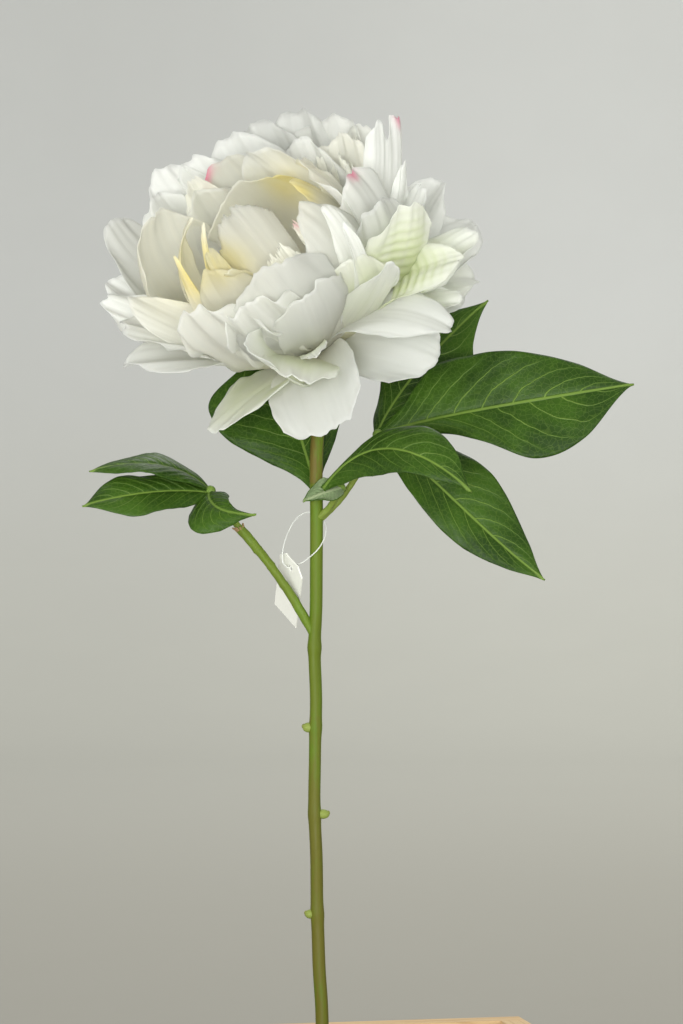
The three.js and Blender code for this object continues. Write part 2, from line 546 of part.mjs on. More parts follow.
// Planter: stacked boards on four corner posts, over a drained floor
function planter() {
  const inner = PLANTER_SIDE - 2 * BOARD;
  const between = inner - 2 * GAP;
  const boardHeight = (PLANTER_HEIGHT - GAP * (BOARDS_PER_WALL - 1)) / BOARDS_PER_WALL;
  const offset = (PLANTER_SIDE - BOARD) / 2;
  for (let k = 0; k < BOARDS_PER_WALL; k += 1) {
    const z = k * (boardHeight + GAP);
    const row = k + 1;
    place(`board_front_${row}`, box(PLANTER_SIDE, BOARD, boardHeight, 0, -offset, z), COLOURS.wood, 0.7);
    place(`board_back_${row}`, box(PLANTER_SIDE, BOARD, boardHeight, 0, offset, z), COLOURS.wood, 0.7);
    place(`board_left_${row}`, box(BOARD, between, boardHeight, -offset, 0, z), COLOURS.wood, 0.7);
    place(`board_right_${row}`, box(BOARD, between, boardHeight, offset, 0, z), COLOURS.wood, 0.7);
  }
  const floorShape = new THREE.Shape();
  floorShape.moveTo(-between / 2, -between / 2);
  floorShape.lineTo(between / 2, -between / 2);
  floorShape.lineTo(between / 2, between / 2);
  floorShape.lineTo(-between / 2, between / 2);
  for (const [x, y] of [[-1, -1], [1, -1], [1, 1], [-1, 1]]) {
    const hole = new THREE.Path();
    hole.absarc(x * DRAIN_OFFSET, y * DRAIN_OFFSET, DRAIN_RADIUS, 0, 2 * Math.PI, true);
    floorShape.holes.push(hole);
  }
  const extrusion = { depth: BOARD, bevelEnabled: false, curveSegments: 8 };
  const floor = new THREE.ExtrudeGeometry(floorShape, extrusion);
  place('planter_floor', floor, COLOURS.wood, 0.7);
  const postOffset = inner / 2 - GAP - POST / 2;
  const postHeight = PLANTER_HEIGHT - POST_BELOW_RIM - BOARD;
  [[-1, -1], [1, -1], [1, 1], [-1, 1]].forEach(([x, y], k) => {
    const post = box(POST, POST, postHeight, x * postOffset, y * postOffset, BOARD + GAP);
    place(`post_${k + 1}`, post, COLOURS.wood, 0.7);
  });
}

// Soil: a block with a lumpy top, notched round the posts, with a hole for the stem
function soil() {
  const half = PLANTER_SIDE / 2 - BOARD - 2 * GAP;
  const cell = (2 * half) / SOIL_CELLS;
  const bottom = BOARD + GAP;
  const height = (x, y) => SOIL_TOP + SOIL_RELIEF * (0.6 * Math.sin(0.11 * x + 1) * Math.cos(0.09 * y)
    + 0.4 * Math.sin(0.23 * x - 0.19 * y) - 0.5 * Math.max(Math.abs(x), Math.abs(y)) / half);
  const grid = [];
  for (let i = 0; i <= SOIL_CELLS; i += 1) {
    const line = [];
    for (let j = 0; j <= SOIL_CELLS; j += 1) {
      const x = -half + i * cell;
      const y = -half + j * cell;
      line.push(new THREE.Vector3(x, y, height(x, y)));
    }
    grid.push(line);
  }
  let block = relief(grid, bottom);
  const postOffset = PLANTER_SIDE / 2 - BOARD - GAP - POST / 2;
  for (const [x, y] of [[-1, -1], [1, -1], [1, 1], [-1, 1]]) {
    const notch = POST + 2 * GAP;
    const around = box(notch, notch, PLANTER_HEIGHT, x * postOffset, y * postOffset, 0);
    block = block.subtract(toSolid(around));
  }
  const hole = new THREE.CylinderGeometry(STEM_RADIUS + GAP, STEM_RADIUS + GAP, PLANTER_HEIGHT, 24);
  hole.rotateX(Math.PI / 2).translate(0, 0, SOIL_TOP - PLANTING_DEPTH - GAP + PLANTER_HEIGHT / 2);
  return wholePiece(block.subtract(toSolid(hole)));
}

// A block under a grid of heights
function relief(grid, bottom) {
  const cells = grid.length - 1;
  const positions = [];
  for (const flat of [false, true]) {
    for (const line of grid) {
      for (const point of line) positions.push(point.x, point.y, flat ? bottom : point.z);
    }
  }
  const index = [];
  const top = (i, j) => i * (cells + 1) + j;
  const under = (i, j) => (cells + 1) ** 2 + top(i, j);
  for (let i = 0; i < cells; i += 1) {
    for (let j = 0; j < cells; j += 1) {
      index.push(top(i, j), top(i + 1, j), top(i + 1, j + 1));
      index.push(top(i, j), top(i + 1, j + 1), top(i, j + 1));
      index.push(under(i, j), under(i + 1, j + 1), under(i + 1, j));
      index.push(under(i, j), under(i, j + 1), under(i + 1, j + 1));
    }
    const sides = [
      [[i, 0], [i + 1, 0]],
      [[cells, i], [cells, i + 1]],
      [[i + 1, cells], [i, cells]],
      [[0, i + 1], [0, i]],
    ];
    for (const [here, next] of sides) {
      index.push(top(...here), under(...here), under(...next));
      index.push(top(...here), under(...next), top(...next));
    }
  }
  const geometry = new THREE.BufferGeometry();
  geometry.setAttribute('position', new THREE.BufferAttribute(new Float32Array(positions), 3));
  geometry.setIndex(index);
  return toSolid(geometry);
}

// Blank hang tag, slanting behind the branch, on a clear loop round the stem
function tag() {
  const { width, height, thickness, corner, hole, holeInset } = TAG_SIZE;
  const card = new THREE.Shape();
  card.moveTo(-width / 2, -height / 2);
  card.lineTo(width / 2, -height / 2);
  card.lineTo(width / 2, height / 2 - corner);
  card.lineTo(width / 2 - corner, height / 2);
  card.lineTo(-width / 2 + corner, height / 2);
  card.lineTo(-width / 2, height / 2 - corner);
  const eyelet = new THREE.Path();
  eyelet.absarc(0, height / 2 - holeInset, hole, 0, 2 * Math.PI, true);
  card.holes.push(eyelet);
  const extrusion = { depth: thickness, bevelEnabled: false, curveSegments: 8 };
  const plate = new THREE.ExtrudeGeometry(card, extrusion);
  const facing = TAG_ACROSS.clone().cross(TAG_UP);
  plate.translate(0, 0, -thickness / 2);
  plate.applyMatrix4(new THREE.Matrix4().makeBasis(TAG_ACROSS, TAG_UP, facing)).translate(...TAG_PLACE);
  place('tag_card', plate, COLOURS.card, 0.55, plant);
  const path = new THREE.CatmullRomCurve3(LOOP_PATH.map((point) => new THREE.Vector3(...point)), true);
  const loop = new THREE.TubeGeometry(path, 52, LOOP_RADIUS, 6, true);
  place('tag_loop', toGeometry(toSolid(loop)), COLOURS.filament, 0.2, plant);
}

planter();
place('soil', toGeometry(soil()), COLOURS.soil, 0.95);
place('stem', toGeometry(stemSolid(0)), COLOURS.stem, 0.55, plant);
place('bloom', toGeometry(bloom()), COLOURS.petal, 0.7, plant);
const clearance = stemSolid(GAP);
place('calyx', toGeometry(wholePiece(calyx().subtract(clearance))), COLOURS.calyx, 0.6, plant);
for (const [name, leaflets] of Object.entries(LEAVES)) {
  const solids = leaflets.map(leafletSolid);
  if (COLLARS[name]) solids.push(ball(COLLAR_RADIUS, COLLARS[name]));
  place(name, toGeometry(wholePiece(join(solids).subtract(clearance))), COLOURS.leaf, 0.5, plant);
}
tag();

export default parts;
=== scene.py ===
import math

import bpy
import numpy as np
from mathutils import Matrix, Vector


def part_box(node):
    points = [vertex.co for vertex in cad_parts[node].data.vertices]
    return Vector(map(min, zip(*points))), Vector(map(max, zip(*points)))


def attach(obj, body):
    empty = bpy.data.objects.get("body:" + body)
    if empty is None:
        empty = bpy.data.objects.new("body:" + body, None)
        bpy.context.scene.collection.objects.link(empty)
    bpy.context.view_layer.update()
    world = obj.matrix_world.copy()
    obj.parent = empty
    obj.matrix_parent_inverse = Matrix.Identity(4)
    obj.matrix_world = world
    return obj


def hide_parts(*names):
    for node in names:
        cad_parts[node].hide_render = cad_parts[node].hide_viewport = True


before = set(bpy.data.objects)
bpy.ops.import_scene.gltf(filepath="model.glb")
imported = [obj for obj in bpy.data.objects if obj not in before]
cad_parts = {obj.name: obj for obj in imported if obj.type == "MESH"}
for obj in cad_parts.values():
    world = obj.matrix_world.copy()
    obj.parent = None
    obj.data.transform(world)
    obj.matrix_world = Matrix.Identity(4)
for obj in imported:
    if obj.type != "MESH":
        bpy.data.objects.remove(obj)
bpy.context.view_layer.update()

MM = 0.001
SEED = 11
# The plant's own frame stands a little turned in the planter's; plant points are in millimetres
PLANT_TURN = math.radians(-11.5)
RECEPTACLE = np.array((-4.0, 0.0, 465.0))
BLOOM_AXIS = np.array((-0.5, -0.5, 0.7)) / np.linalg.norm((-0.5, -0.5, 0.7))
# Photograph: level view along the plant's +Y from 1.5 m, 461 mm high where the stem stands
CAMERA_TARGET = (8.55, 0, 392)
CAMERA_DISTANCE = 1500
VIEW_HEIGHT = 461
SENSOR = 36

# Cells across and along a blade
PETAL_CELLS = (44, 30)
CRIMPED_CELLS = (32, 120)
LEAF_CELLS = (32, 84)
SEPAL_CELLS = (16, 20)
PETAL_THICKNESS, LEAF_THICKNESS, SEPAL_THICKNESS = 0.32, 0.7, 0.7

rng = np.random.default_rng(SEED)


# Points and curves
def rotate_flat(points, angle):
    """Points turned about the upright axis."""
    p = np.asarray(points, float)
    c, s = math.cos(angle), math.sin(angle)
    return np.stack([c * p[..., 0] - s * p[..., 1], s * p[..., 0] + c * p[..., 1], p[..., 2]], -1)


def turn_plant(points):
    """Plant points in millimetres as model points in metres."""
    return rotate_flat(points, PLANT_TURN) * MM


def unit(vectors):
    v = np.asarray(vectors, float)
    return v / np.maximum(np.linalg.norm(v, axis=-1, keepdims=True), 1e-9)


def rotate(vector, axis, angle):
    return (vector * math.cos(angle) + np.cross(axis, vector) * math.sin(angle)
            + axis * np.dot(axis, vector) * (1 - math.cos(angle)))


def cubic(ends, w):
    """Point and direction of a cubic curve with four control points."""
    a, b, c, d = (np.asarray(p, float) for p in ends)
    w = np.asarray(w, float)[..., None]
    q = 1 - w
    point = q**3 * a + 3 * q**2 * w * b + 3 * q * w**2 * c + w**3 * d
    way = q**2 * (b - a) + 2 * q * w * (c - b) + w**2 * (d - c)
    return point, unit(way)


def ripples(x, *waves):
    """Sum of sine waves, each given by its height, rate and start."""
    return sum(height * np.sin(rate * x + start) for height, rate, start in waves)


def hump(x, place, width):
    """A rounded rise of height 1."""
    return np.exp(-((x - place) / width) ** 2)


def circle(sides):
    """The angles of points round a circle."""
    return np.linspace(0, 2 * math.pi, sides, endpoint=False)


def places(cells):
    """Places across a blade, from -1 to 1, and along it, from 0 to 1, at all its points."""
    columns, rows = cells
    u = np.linspace(-1, 1, columns + 1)[:, None] * np.ones(rows + 1)
    v = np.linspace(0, 1, rows + 1)[None, :] * np.ones((columns + 1, 1))
    return u, v


def through(points, count):
    """A smooth line of count points through the given ones (centripetal Catmull-Rom)."""
    p = np.asarray(points, float)
    p = np.vstack([2 * p[0] - p[1], p, 2 * p[-1] - p[-2]])
    gaps = np.linalg.norm(np.diff(p, axis=0), axis=1) ** 0.5
    knots = np.concatenate([[0], np.cumsum(gaps)])
    line = []
    for t in np.linspace(knots[1], knots[-2], count):
        i = int(np.clip(np.searchsorted(knots, t, side="right") - 1, 1, len(p) - 3))
        k, q = knots[i - 1:i + 3], p[i - 1:i + 3]
        a = [((k[j + 1] - t) * q[j] + (t - k[j]) * q[j + 1]) / (k[j + 1] - k[j]) for j in range(3)]
        b = [((k[j + 2] - t) * a[j] + (t - k[j]) * a[j + 1]) / (k[j + 2] - k[j]) for j in range(2)]
        line.append(((k[2] - t) * b[0] + (t - k[1]) * b[1]) / (k[2] - k[1]))
    return np.array(line)


# Faces, by the numbers of their corners; a triangle has its last corner twice
def sheet(columns, rows):
    """Faces of a grid of points, and the points round its rim."""
    index = np.arange(columns * rows).reshape(columns, rows)
    faces = np.stack([index[:-1, :-1], index[1:, :-1], index[1:, 1:], index[:-1, 1:]], -1).reshape(-1, 4)
    rim = np.concatenate([index[:-1, 0], index[-1, :-1], index[:0:-1, -1], index[0, :0:-1]])
    return faces, rim


def sleeve(rings, sides):
    """Faces between rings of points, with the number of each point and of the next one round its ring."""
    index = np.arange(rings * sides).reshape(rings, sides)
    beside = np.roll(index, -1, axis=1)
    faces = np.stack([index[:-1], index[1:], beside[1:], beside[:-1]], -1).reshape(-1, 4)
    return faces, index, beside


def fan(edge, beside, centre):
    """Triangles between the points of an edge and a centre."""
    return np.stack([edge, beside, np.full(len(edge), centre), np.full(len(edge), centre)], -1)


def placed(name, data):
    made = bpy.data.objects.new(name, data)
    bpy.context.scene.collection.objects.link(made)
    return made


# Meshes
class Shell:
    """Collects closed blades, tubes and lumps into one mesh, with named values at its points."""

    def __init__(self):
        self.points, self.faces, self.slots, self.values, self.count = [], [], [], {}, 0

    def add(self, points, faces, slot=0, **values):
        points = points.reshape(-1, 3)
        slots = np.broadcast_to(np.asarray(slot), (len(faces),))
        self.faces.append(np.asarray(faces) + self.count)
        self.slots.append(slots)
        self.points.append(points)
        for name, value in values.items():
            flat = np.broadcast_to(np.asarray(value, float).ravel(), (len(points),))
            self.values.setdefault(name, []).append(flat)
        self.count += len(points)

    def blade(self, grid, thickness, **values):
        """A closed blade round a grid of points; its upper face is material 0 and its lower face 1."""
        rows, columns = grid.shape[:2]
        across = np.gradient(grid, axis=0)
        along = np.gradient(grid, axis=1)
        normal = unit(np.cross(across, along))
        half = (np.broadcast_to(thickness, (rows, columns)) / 2)[..., None]
        points = np.stack([grid + normal * half, grid - normal * half])
        upper, rim = sheet(rows, columns)
        following = np.roll(rim, -1)
        under = rows * columns
        edge = np.stack([rim, rim + under, following + under, following], -1)
        faces = np.concatenate([upper, upper[:, ::-1] + under, edge])
        slot = np.repeat([0, 1, 0], [len(upper), len(upper), len(edge)])
        both = {name: np.stack([np.broadcast_to(v, (rows, columns))] * 2) for name, v in values.items()}
        self.add(points, faces, slot, **both)

    def tube(self, line, radii, sides=28, slot=0, bulge=None, **values):
        """A closed tube along a line; bulge(angle, step) widens it."""
        line = np.asarray(line, float)
        way = unit(np.gradient(line, axis=0))
        side = unit(np.cross(way, (0.0, 1.0, 0.0)))
        other = np.cross(way, side)
        angle = circle(sides)
        radius = np.broadcast_to(np.asarray(radii, float).reshape(-1, 1), (len(line), 1)) * np.ones(sides)
        if bulge is not None:
            radius = radius + bulge(angle[None, :], np.linspace(0, 1, len(line))[:, None])
        ring = (line[:, None] + side[:, None] * (np.cos(angle)[:, None] * radius[..., None])
                + other[:, None] * (np.sin(angle)[:, None] * radius[..., None]))
        faces, index, beside = sleeve(len(line), sides)
        points = np.concatenate([ring.reshape(-1, 3), line[[0, -1]]])
        ends = [fan(index[0], beside[0], index.size), fan(beside[-1], index[-1], index.size + 1)]
        self.add(points, np.concatenate([faces, *ends]), slot, **values)

    def piece(self, name, materials, transform=turn_plant):
        mesh = bpy.data.meshes.new(name)
        points = transform(np.concatenate(self.points))
        faces = np.concatenate(self.faces)
        lists = [[a, b, c] if c == d else [a, b, c, d] for a, b, c, d in faces.tolist()]
        mesh.from_pydata(points.tolist(), [], lists)
        mesh.polygons.foreach_set("material_index", np.concatenate(self.slots).astype(np.int32))
        mesh.polygons.foreach_set("use_smooth", np.ones(len(lists), bool))
        for value, parts in self.values.items():
            attribute = mesh.attributes.new(value, "FLOAT", "POINT")
            attribute.data.foreach_set("value", np.concatenate(parts).astype(np.float32))
        for material in materials:
            mesh.materials.append(material)
        mesh.update()
        return placed(name, mesh)


def settle(piece, slot, *nodes):
    """The piece rides on the model and stands for the named nodes, which it hides; the slot is not used."""
    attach(piece, "root")
    if nodes:
        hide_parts(*nodes)


# Materials
class Shader:
    """A node material under construction."""

    def __init__(self, name):
        self.material = bpy.data.materials.new(name)
        self.material.use_nodes = True
        self.tree = self.material.node_tree
        self.tree.nodes.clear()
        self.output = self.tree.nodes.new("ShaderNodeOutputMaterial")
        self.place = self.tree.nodes.new("ShaderNodeTexCoord").outputs["Object"]

    def link(self, source, socket):
        if isinstance(source, (int, float)):
            socket.default_value = source
        elif isinstance(source, tuple):
            socket.default_value = (*source, 1.0) if len(socket.default_value) == 4 else source
        else:
            self.tree.links.new(source, socket)

    def node(self, kind, inputs, output=0, **settings):
        """One output of a new node that has these settings and these inputs, linked or set."""
        made = self.tree.nodes.new("ShaderNode" + kind)
        for name, setting in settings.items():
            setattr(made, name, setting)
        for name, source in inputs.items():
            self.link(source, made.inputs[name])
        return made.outputs[output]

    def value(self, name):
        return self.node("Attribute", {}, "Fac", attribute_name=name)

    def math(self, operation, *terms, clamp=False):
        return self.node("Math", dict(enumerate(terms)), operation=operation, use_clamp=clamp)

    def times(self, first, second, clamp=False):
        return self.math("MULTIPLY", first, second, clamp=clamp)

    def plus(self, first, second, clamp=False):
        return self.math("ADD", first, second, clamp=clamp)

    def minus(self, first, second, clamp=False):
        return self.math("SUBTRACT", first, second, clamp=clamp)

    def span(self, source, low, high, start=0.0, end=1.0):
        """Smooth way from start to end as the source goes from low to high."""
        inputs = {"Value": source, "From Min": low, "From Max": high, "To Min": start, "To Max": end}
        return self.node("MapRange", inputs, interpolation_type="SMOOTHSTEP")

    def mix(self, share, first, second):
        return self.node("Mix", {0: share, 6: first, 7: second}, 2, data_type="RGBA")

    def vector(self, x, y, z):
        return self.node("CombineXYZ", {"X": x, "Y": y, "Z": z})

    def axis(self, name):
        """The place on the object along X, Y or Z."""
        return self.node("SeparateXYZ", {0: self.place}, name)

    def mapped(self, scale, offset=(0, 0, 0)):
        """The place on the object, scaled by one number or by one for each axis."""
        scale = scale if isinstance(scale, tuple) else (scale,) * 3
        return self.node("Mapping", {"Vector": self.place, "Location": offset, "Scale": scale})

    def noise(self, vector, detail=3.0, rough=0.5, distortion=0.0):
        inputs = {"Vector": vector, "Scale": 1.0, "Detail": detail, "Roughness": rough}
        return self.node("TexNoise", {**inputs, "Distortion": distortion}, "Fac")

    def grain(self, scale, detail=3.0, rough=0.5):
        """Noise in the object's own space."""
        return self.noise(self.mapped(scale), detail, rough)

    def cells(self, vector, feature="F1"):
        """Distance to the middle of a cell, or to its edge."""
        return self.node("TexVoronoi", {"Vector": vector, "Scale": 1.0}, "Distance", feature=feature)

    def bump(self, height, strength, distance, before=None):
        inputs = {"Height": height, "Strength": strength, "Distance": distance}
        if before is not None:
            inputs["Normal"] = before
        return self.node("Bump", inputs)

    def surface(self, colour, roughness, normal=None, specular=0.5, sheen=0.0, through=0.0):
        """Principled surface; through is the share of light that comes through a thin blade."""
        inputs = {"Base Color": colour, "Roughness": roughness, "Specular IOR Level": specular}
        inputs["Sheen Weight"] = sheen
        if normal is not None:
            inputs["Normal"] = normal
        shader = self.node("BsdfPrincipled", inputs)
        if through:
            behind = self.node("BsdfTranslucent", {"Color": colour})
            shader = self.node("MixShader", {0: through, 1: shader, 2: behind})
        self.link(shader, self.output.inputs["Surface"])
        return self.material


WHITE = (0.935, 0.945, 0.928)
CREAM = (0.965, 0.948, 0.84)
YELLOW = (0.96, 0.86, 0.36)
LIME = (0.87, 0.92, 0.64)
# Mixed into whole petals as painted shade
SHADED = (0.45, 0.455, 0.42)
# Painted shade in the grooves of crimped petals
PAINTED_FURROW_SHADE = (0.66, 0.73, 0.42)
PINK = (0.90, 0.34, 0.48)
FINE_LINES = (0.72, 0.74, 0.68)
LEAF_TOP = dict(
    base=(0.040, 0.095, 0.008), deep=(0.017, 0.046, 0.004), vein=(0.18, 0.28, 0.05),
    vein_share=0.75, rough=0.42, specular=0.17, through=0.10, net=0.2,
)
LEAF_UNDER = dict(
    base=(0.20, 0.27, 0.13), deep=(0.13, 0.20, 0.09), vein=(0.36, 0.42, 0.24),
    vein_share=0.6, rough=0.62, specular=0.25, through=0.12, net=0.35,
)
STEM_GREENS = (0.068, 0.132, 0.005), (0.115, 0.195, 0.014)
STEM_OLIVES = (0.075, 0.105, 0.005), (0.115, 0.150, 0.014)
STEM_BROWN, STEM_PALE = (0.135, 0.058, 0.022), (0.27, 0.33, 0.08)
CUT_BROWNS = (0.13, 0.07, 0.03), (0.48, 0.33, 0.17)
CALYX_GREENS = (0.075, 0.16, 0.028), (0.20, 0.32, 0.09)
WOOD_TONES = (0.60, 0.41, 0.20), (0.74, 0.55, 0.31)
WOOD_RING, WOOD_PORE, WOOD_KNOT = (0.48, 0.29, 0.13), (0.33, 0.20, 0.09), (0.16, 0.075, 0.03)
SOIL_TONES = (0.016, 0.010, 0.007), (0.066, 0.040, 0.024)
SOIL_GRAIN, SOIL_FLECK = (0.12, 0.075, 0.045), (0.42, 0.36, 0.28)
CARD_TONES = (0.76, 0.77, 0.69), (0.84, 0.84, 0.77)
FILAMENT_TONES = (0.84, 0.86, 0.82), (0.92, 0.93, 0.90)
# Backdrop colours: the wall, its painted shade at the left and its fibre; the pale floor near the planter,
# the floor's painted shade further out, and the far floor
WALL, WALL_PAINTED_SHADE, WALL_FIBRE = (0.735, 0.745, 0.72), (0.20, 0.20, 0.19), (0.40, 0.39, 0.37)
FLOOR_NEAR, FLOOR_MIDDLE_PAINTED_SHADE, FLOOR_FAR = (0.60, 0.59, 0.57), (0.345, 0.335, 0.29), (0.64, 0.64, 0.575)
# The side ribs of a leaf: how many, how far they lean to its tip and how they bow
LEAF_RIBS, RIB_LEAN, RIB_BOW = 9, 0.30, 1.35


def petal_material(name):
    """Milky silk: fine pleats along the petal, cream to yellow at its foot, some lime and pink, a painted
    glow deep in the cup, and painted shade in the grooves of crimped petals and on some whole petals.
    """
    s = Shader(name)
    along, across, own = s.value("along"), s.value("across"), s.value("own")
    warm, lime, pink, glow = (s.value(name) for name in ("warm", "lime", "pink", "glow"))
    fine = s.noise(s.vector(s.times(across, 16.0), s.times(along, 2.2), own), 4.0, 0.6)
    cloud = s.noise(s.vector(s.times(across, 1.6), s.times(along, 2.0), own), 2.0)
    low = s.minus(1.0, s.math("DIVIDE", along, 0.75), clamp=True)
    strength = s.times(warm, s.span(fine, 0.3, 0.7, 0.85, 1.15))
    creamy = s.plus(s.times(s.math("POWER", low, 0.7), 1.7), 0.8)
    creamy = s.times(creamy, strength, clamp=True)
    # Painted glow: more cream and yellow where light comes through the petals deep in the cup
    creamy = s.plus(creamy, s.times(glow, 1.4), clamp=True)
    golden = s.times(s.times(s.math("POWER", low, 2.0), strength), 1.3, clamp=True)
    painted_glow_gold = s.times(s.span(glow, 0.4, 1.1), s.span(cloud, 0.3, 0.7, 0.5, 1.0))
    golden = s.plus(golden, painted_glow_gold, clamp=True)
    middle = s.minus(along, 0.6)
    belly = s.math("POWER", 2.718, s.times(s.times(middle, middle), -11.0))
    greenish = s.times(s.times(lime, belly), s.span(cloud, 0.3, 0.6, 0.5, 1.0), clamp=True)
    colour = s.mix(creamy, WHITE, CREAM)
    colour = s.mix(golden, colour, YELLOW)
    colour = s.mix(greenish, colour, LIME)
    # Painted shade in the grooves between the ribs of crimped petals
    colour = s.mix(s.times(s.value("furrow"), 0.9, clamp=True), colour, PAINTED_FURROW_SHADE)
    # Painted shade: whole petals darkened toward the shaded grey by their share
    colour = s.mix(s.value("dim"), colour, SHADED)
    colour = s.mix(pink, colour, PINK)
    colour = s.mix(s.span(fine, 0.35, 0.75, 0.06, 0.0), colour, FINE_LINES)
    weave = s.grain(2600, 1.0)
    normal = s.bump(weave, 0.12, 0.0002, s.bump(fine, 0.16, 0.0005))
    return s.surface(colour, s.span(fine, 0.2, 0.8, 0.5, 0.66), normal, specular=0.2, sheen=0.1, through=0.66)


def leaf_material(name, base, deep, vein, vein_share, rough, specular, through, net):
    """Leaf face: ribs and a fine net drawn from the leaf's own length and width."""
    s = Shader(name)
    along, across, reach = s.value("along"), s.value("across"), s.value("reach")
    side = s.math("ABSOLUTE", across)
    bent = s.minus(along, s.times(s.math("POWER", side, RIB_BOW), RIB_LEAN))
    wander = s.grain(90, 2.0)
    place = s.plus(s.times(bent, LEAF_RIBS), s.times(wander, 0.5))
    place = s.plus(place, s.times(s.math("SIGN", across), 0.25))
    rest = s.math("ABSOLUTE", s.minus(s.math("FRACT", place), 0.5))
    ribs = s.times(s.span(rest, 0.045, 0.0), s.span(side, 0.97, 0.55))
    midrib = s.span(reach, 0.95, 0.35)
    web = s.span(s.cells(s.mapped(420), "DISTANCE_TO_EDGE"), 0.09, 0.0, 0.0, net)
    drawn = s.math("MAXIMUM", s.math("MAXIMUM", ribs, midrib), web)
    patch = s.grain(38, 4.0, 0.6)
    body = s.mix(s.span(patch, 0.32, 0.68), deep, base)
    body = s.mix(s.span(rest, 0.25, 0.0, 0.0, 0.35), body, base)
    colour = s.mix(s.times(drawn, vein_share), body, vein)
    fine = s.grain(1500, 2.0)
    normal = s.bump(fine, 0.10, 0.0003, s.bump(drawn, 0.45, 0.0005))
    return s.surface(colour, s.span(patch, 0.3, 0.7, rough + 0.06, rough - 0.05), normal,
                     specular=specular, through=through)


def stem_material():
    """Moulded green that turns olive lower down, with brown and pale places where the values say."""
    s = Shader("stem_green")
    streak = s.grain((900, 900, 14), 4.0, 0.6)
    blotch = s.grain((120, 120, 24), 4.0, 0.65)
    lowness = s.span(s.axis("Z"), 0.36, 0.20)
    colour = s.mix(lowness, s.mix(streak, *STEM_GREENS), s.mix(streak, *STEM_OLIVES))
    brown = s.times(s.value("brown"), s.span(blotch, 0.36, 0.56))
    colour = s.mix(brown, colour, STEM_BROWN)
    colour = s.mix(s.value("pale"), colour, STEM_PALE)
    normal = s.bump(streak, 0.35, 0.0005)
    return s.surface(colour, s.span(streak, 0.3, 0.7, 0.42, 0.56), normal, specular=0.15)


def plain_material(name, tones, grain, roughness, relief, specular, through=0.0):
    """Two near tones in a grain of some scale, detail and roughness, with its relief's strength and depth."""
    s = Shader(name)
    fine = s.grain(*grain)
    colour = s.mix(fine, *tones)
    return s.surface(colour, roughness, s.bump(fine, *relief), specular=specular, through=through)


def wood_material(name, lengthwise, offset):
    """Planed pale boards: growth rings drawn out along the board, pores, small knots."""
    s = Shader(name)

    def drawn_out(across, along):
        return s.mapped(tuple(along if axis == lengthwise else across for axis in "XYZ"), offset)

    rings = s.noise(drawn_out(60.0, 3.2), 3.0, 0.45, 0.6)
    band = s.math("ABSOLUTE", s.minus(s.math("FRACT", s.times(rings, 9.0)), 0.5))
    late = s.span(band, 0.22, 0.02)
    fibre = s.noise(drawn_out(1500.0, 40.0), 3.0, 0.6)
    tone = s.noise(s.mapped(9, offset), 2.0)
    knot = s.span(s.cells(drawn_out(11.0, 5.0)), 0.085, 0.03)
    colour = s.mix(tone, *WOOD_TONES)
    colour = s.mix(s.times(late, 0.5), colour, WOOD_RING)
    colour = s.mix(s.span(fibre, 0.55, 0.8, 0.0, 0.35), colour, WOOD_PORE)
    colour = s.mix(knot, colour, WOOD_KNOT)
    normal = s.bump(fibre, 0.3, 0.0004, s.bump(late, 0.25, 0.0004))
    return s.surface(colour, s.span(fibre, 0.3, 0.7, 0.58, 0.74), normal, specular=0.3)


def soil_material():
    s = Shader("potting_soil")
    grain = s.grain(900, 5.0, 0.7)
    clod = s.grain(170, 4.0, 0.6)
    fleck = s.span(s.noise(s.mapped(420, (3, 1, 7)), 1.0), 0.70, 0.74)
    colour = s.mix(clod, *SOIL_TONES)
    colour = s.mix(s.span(grain, 0.45, 0.75, 0.0, 0.6), colour, SOIL_GRAIN)
    colour = s.mix(fleck, colour, SOIL_FLECK)
    return s.surface(colour, 0.95, s.bump(grain, 0.8, 0.0016), specular=0.2)


def backdrop_material():
    """Pale paper with painted shade: a little darker on the floor and at the left."""
    s = Shader("backdrop_paper")
    fibre = s.grain(6)
    x, y, z = (s.axis(name) for name in "XYZ")
    radius = s.math("SQRT", s.plus(s.times(x, x), s.times(y, y)))
    # Painted shade: the floor darker than the wall, darkest about a metre out from the middle
    far = s.mix(s.span(radius, 0.9, 5.2), FLOOR_MIDDLE_PAINTED_SHADE, FLOOR_FAR)
    floor = s.mix(s.span(radius, 0.55, 1.05), FLOOR_NEAR, far)
    colour = s.mix(s.span(z, 0.0, 0.9), floor, WALL)
    # Painted shade: darker at the left
    sideways = s.minus(s.times(x, 0.98), s.times(y, 0.2))
    colour = s.mix(s.span(sideways, -0.6, 0.6, 0.2, 0.0), colour, WALL_PAINTED_SHADE)
    colour = s.mix(s.span(fibre, 0.3, 0.7, 0.0, 0.03), colour, WALL_FIBRE)
    return s.surface(colour, 0.95, specular=0.1)


# Petals
def petal(x, y, z, width, **ways):
    """A petal by its tip, from the receptacle, its width and its own ways of bending, in millimetres."""
    return dict(ways, tip=(x, y, z), width=width)
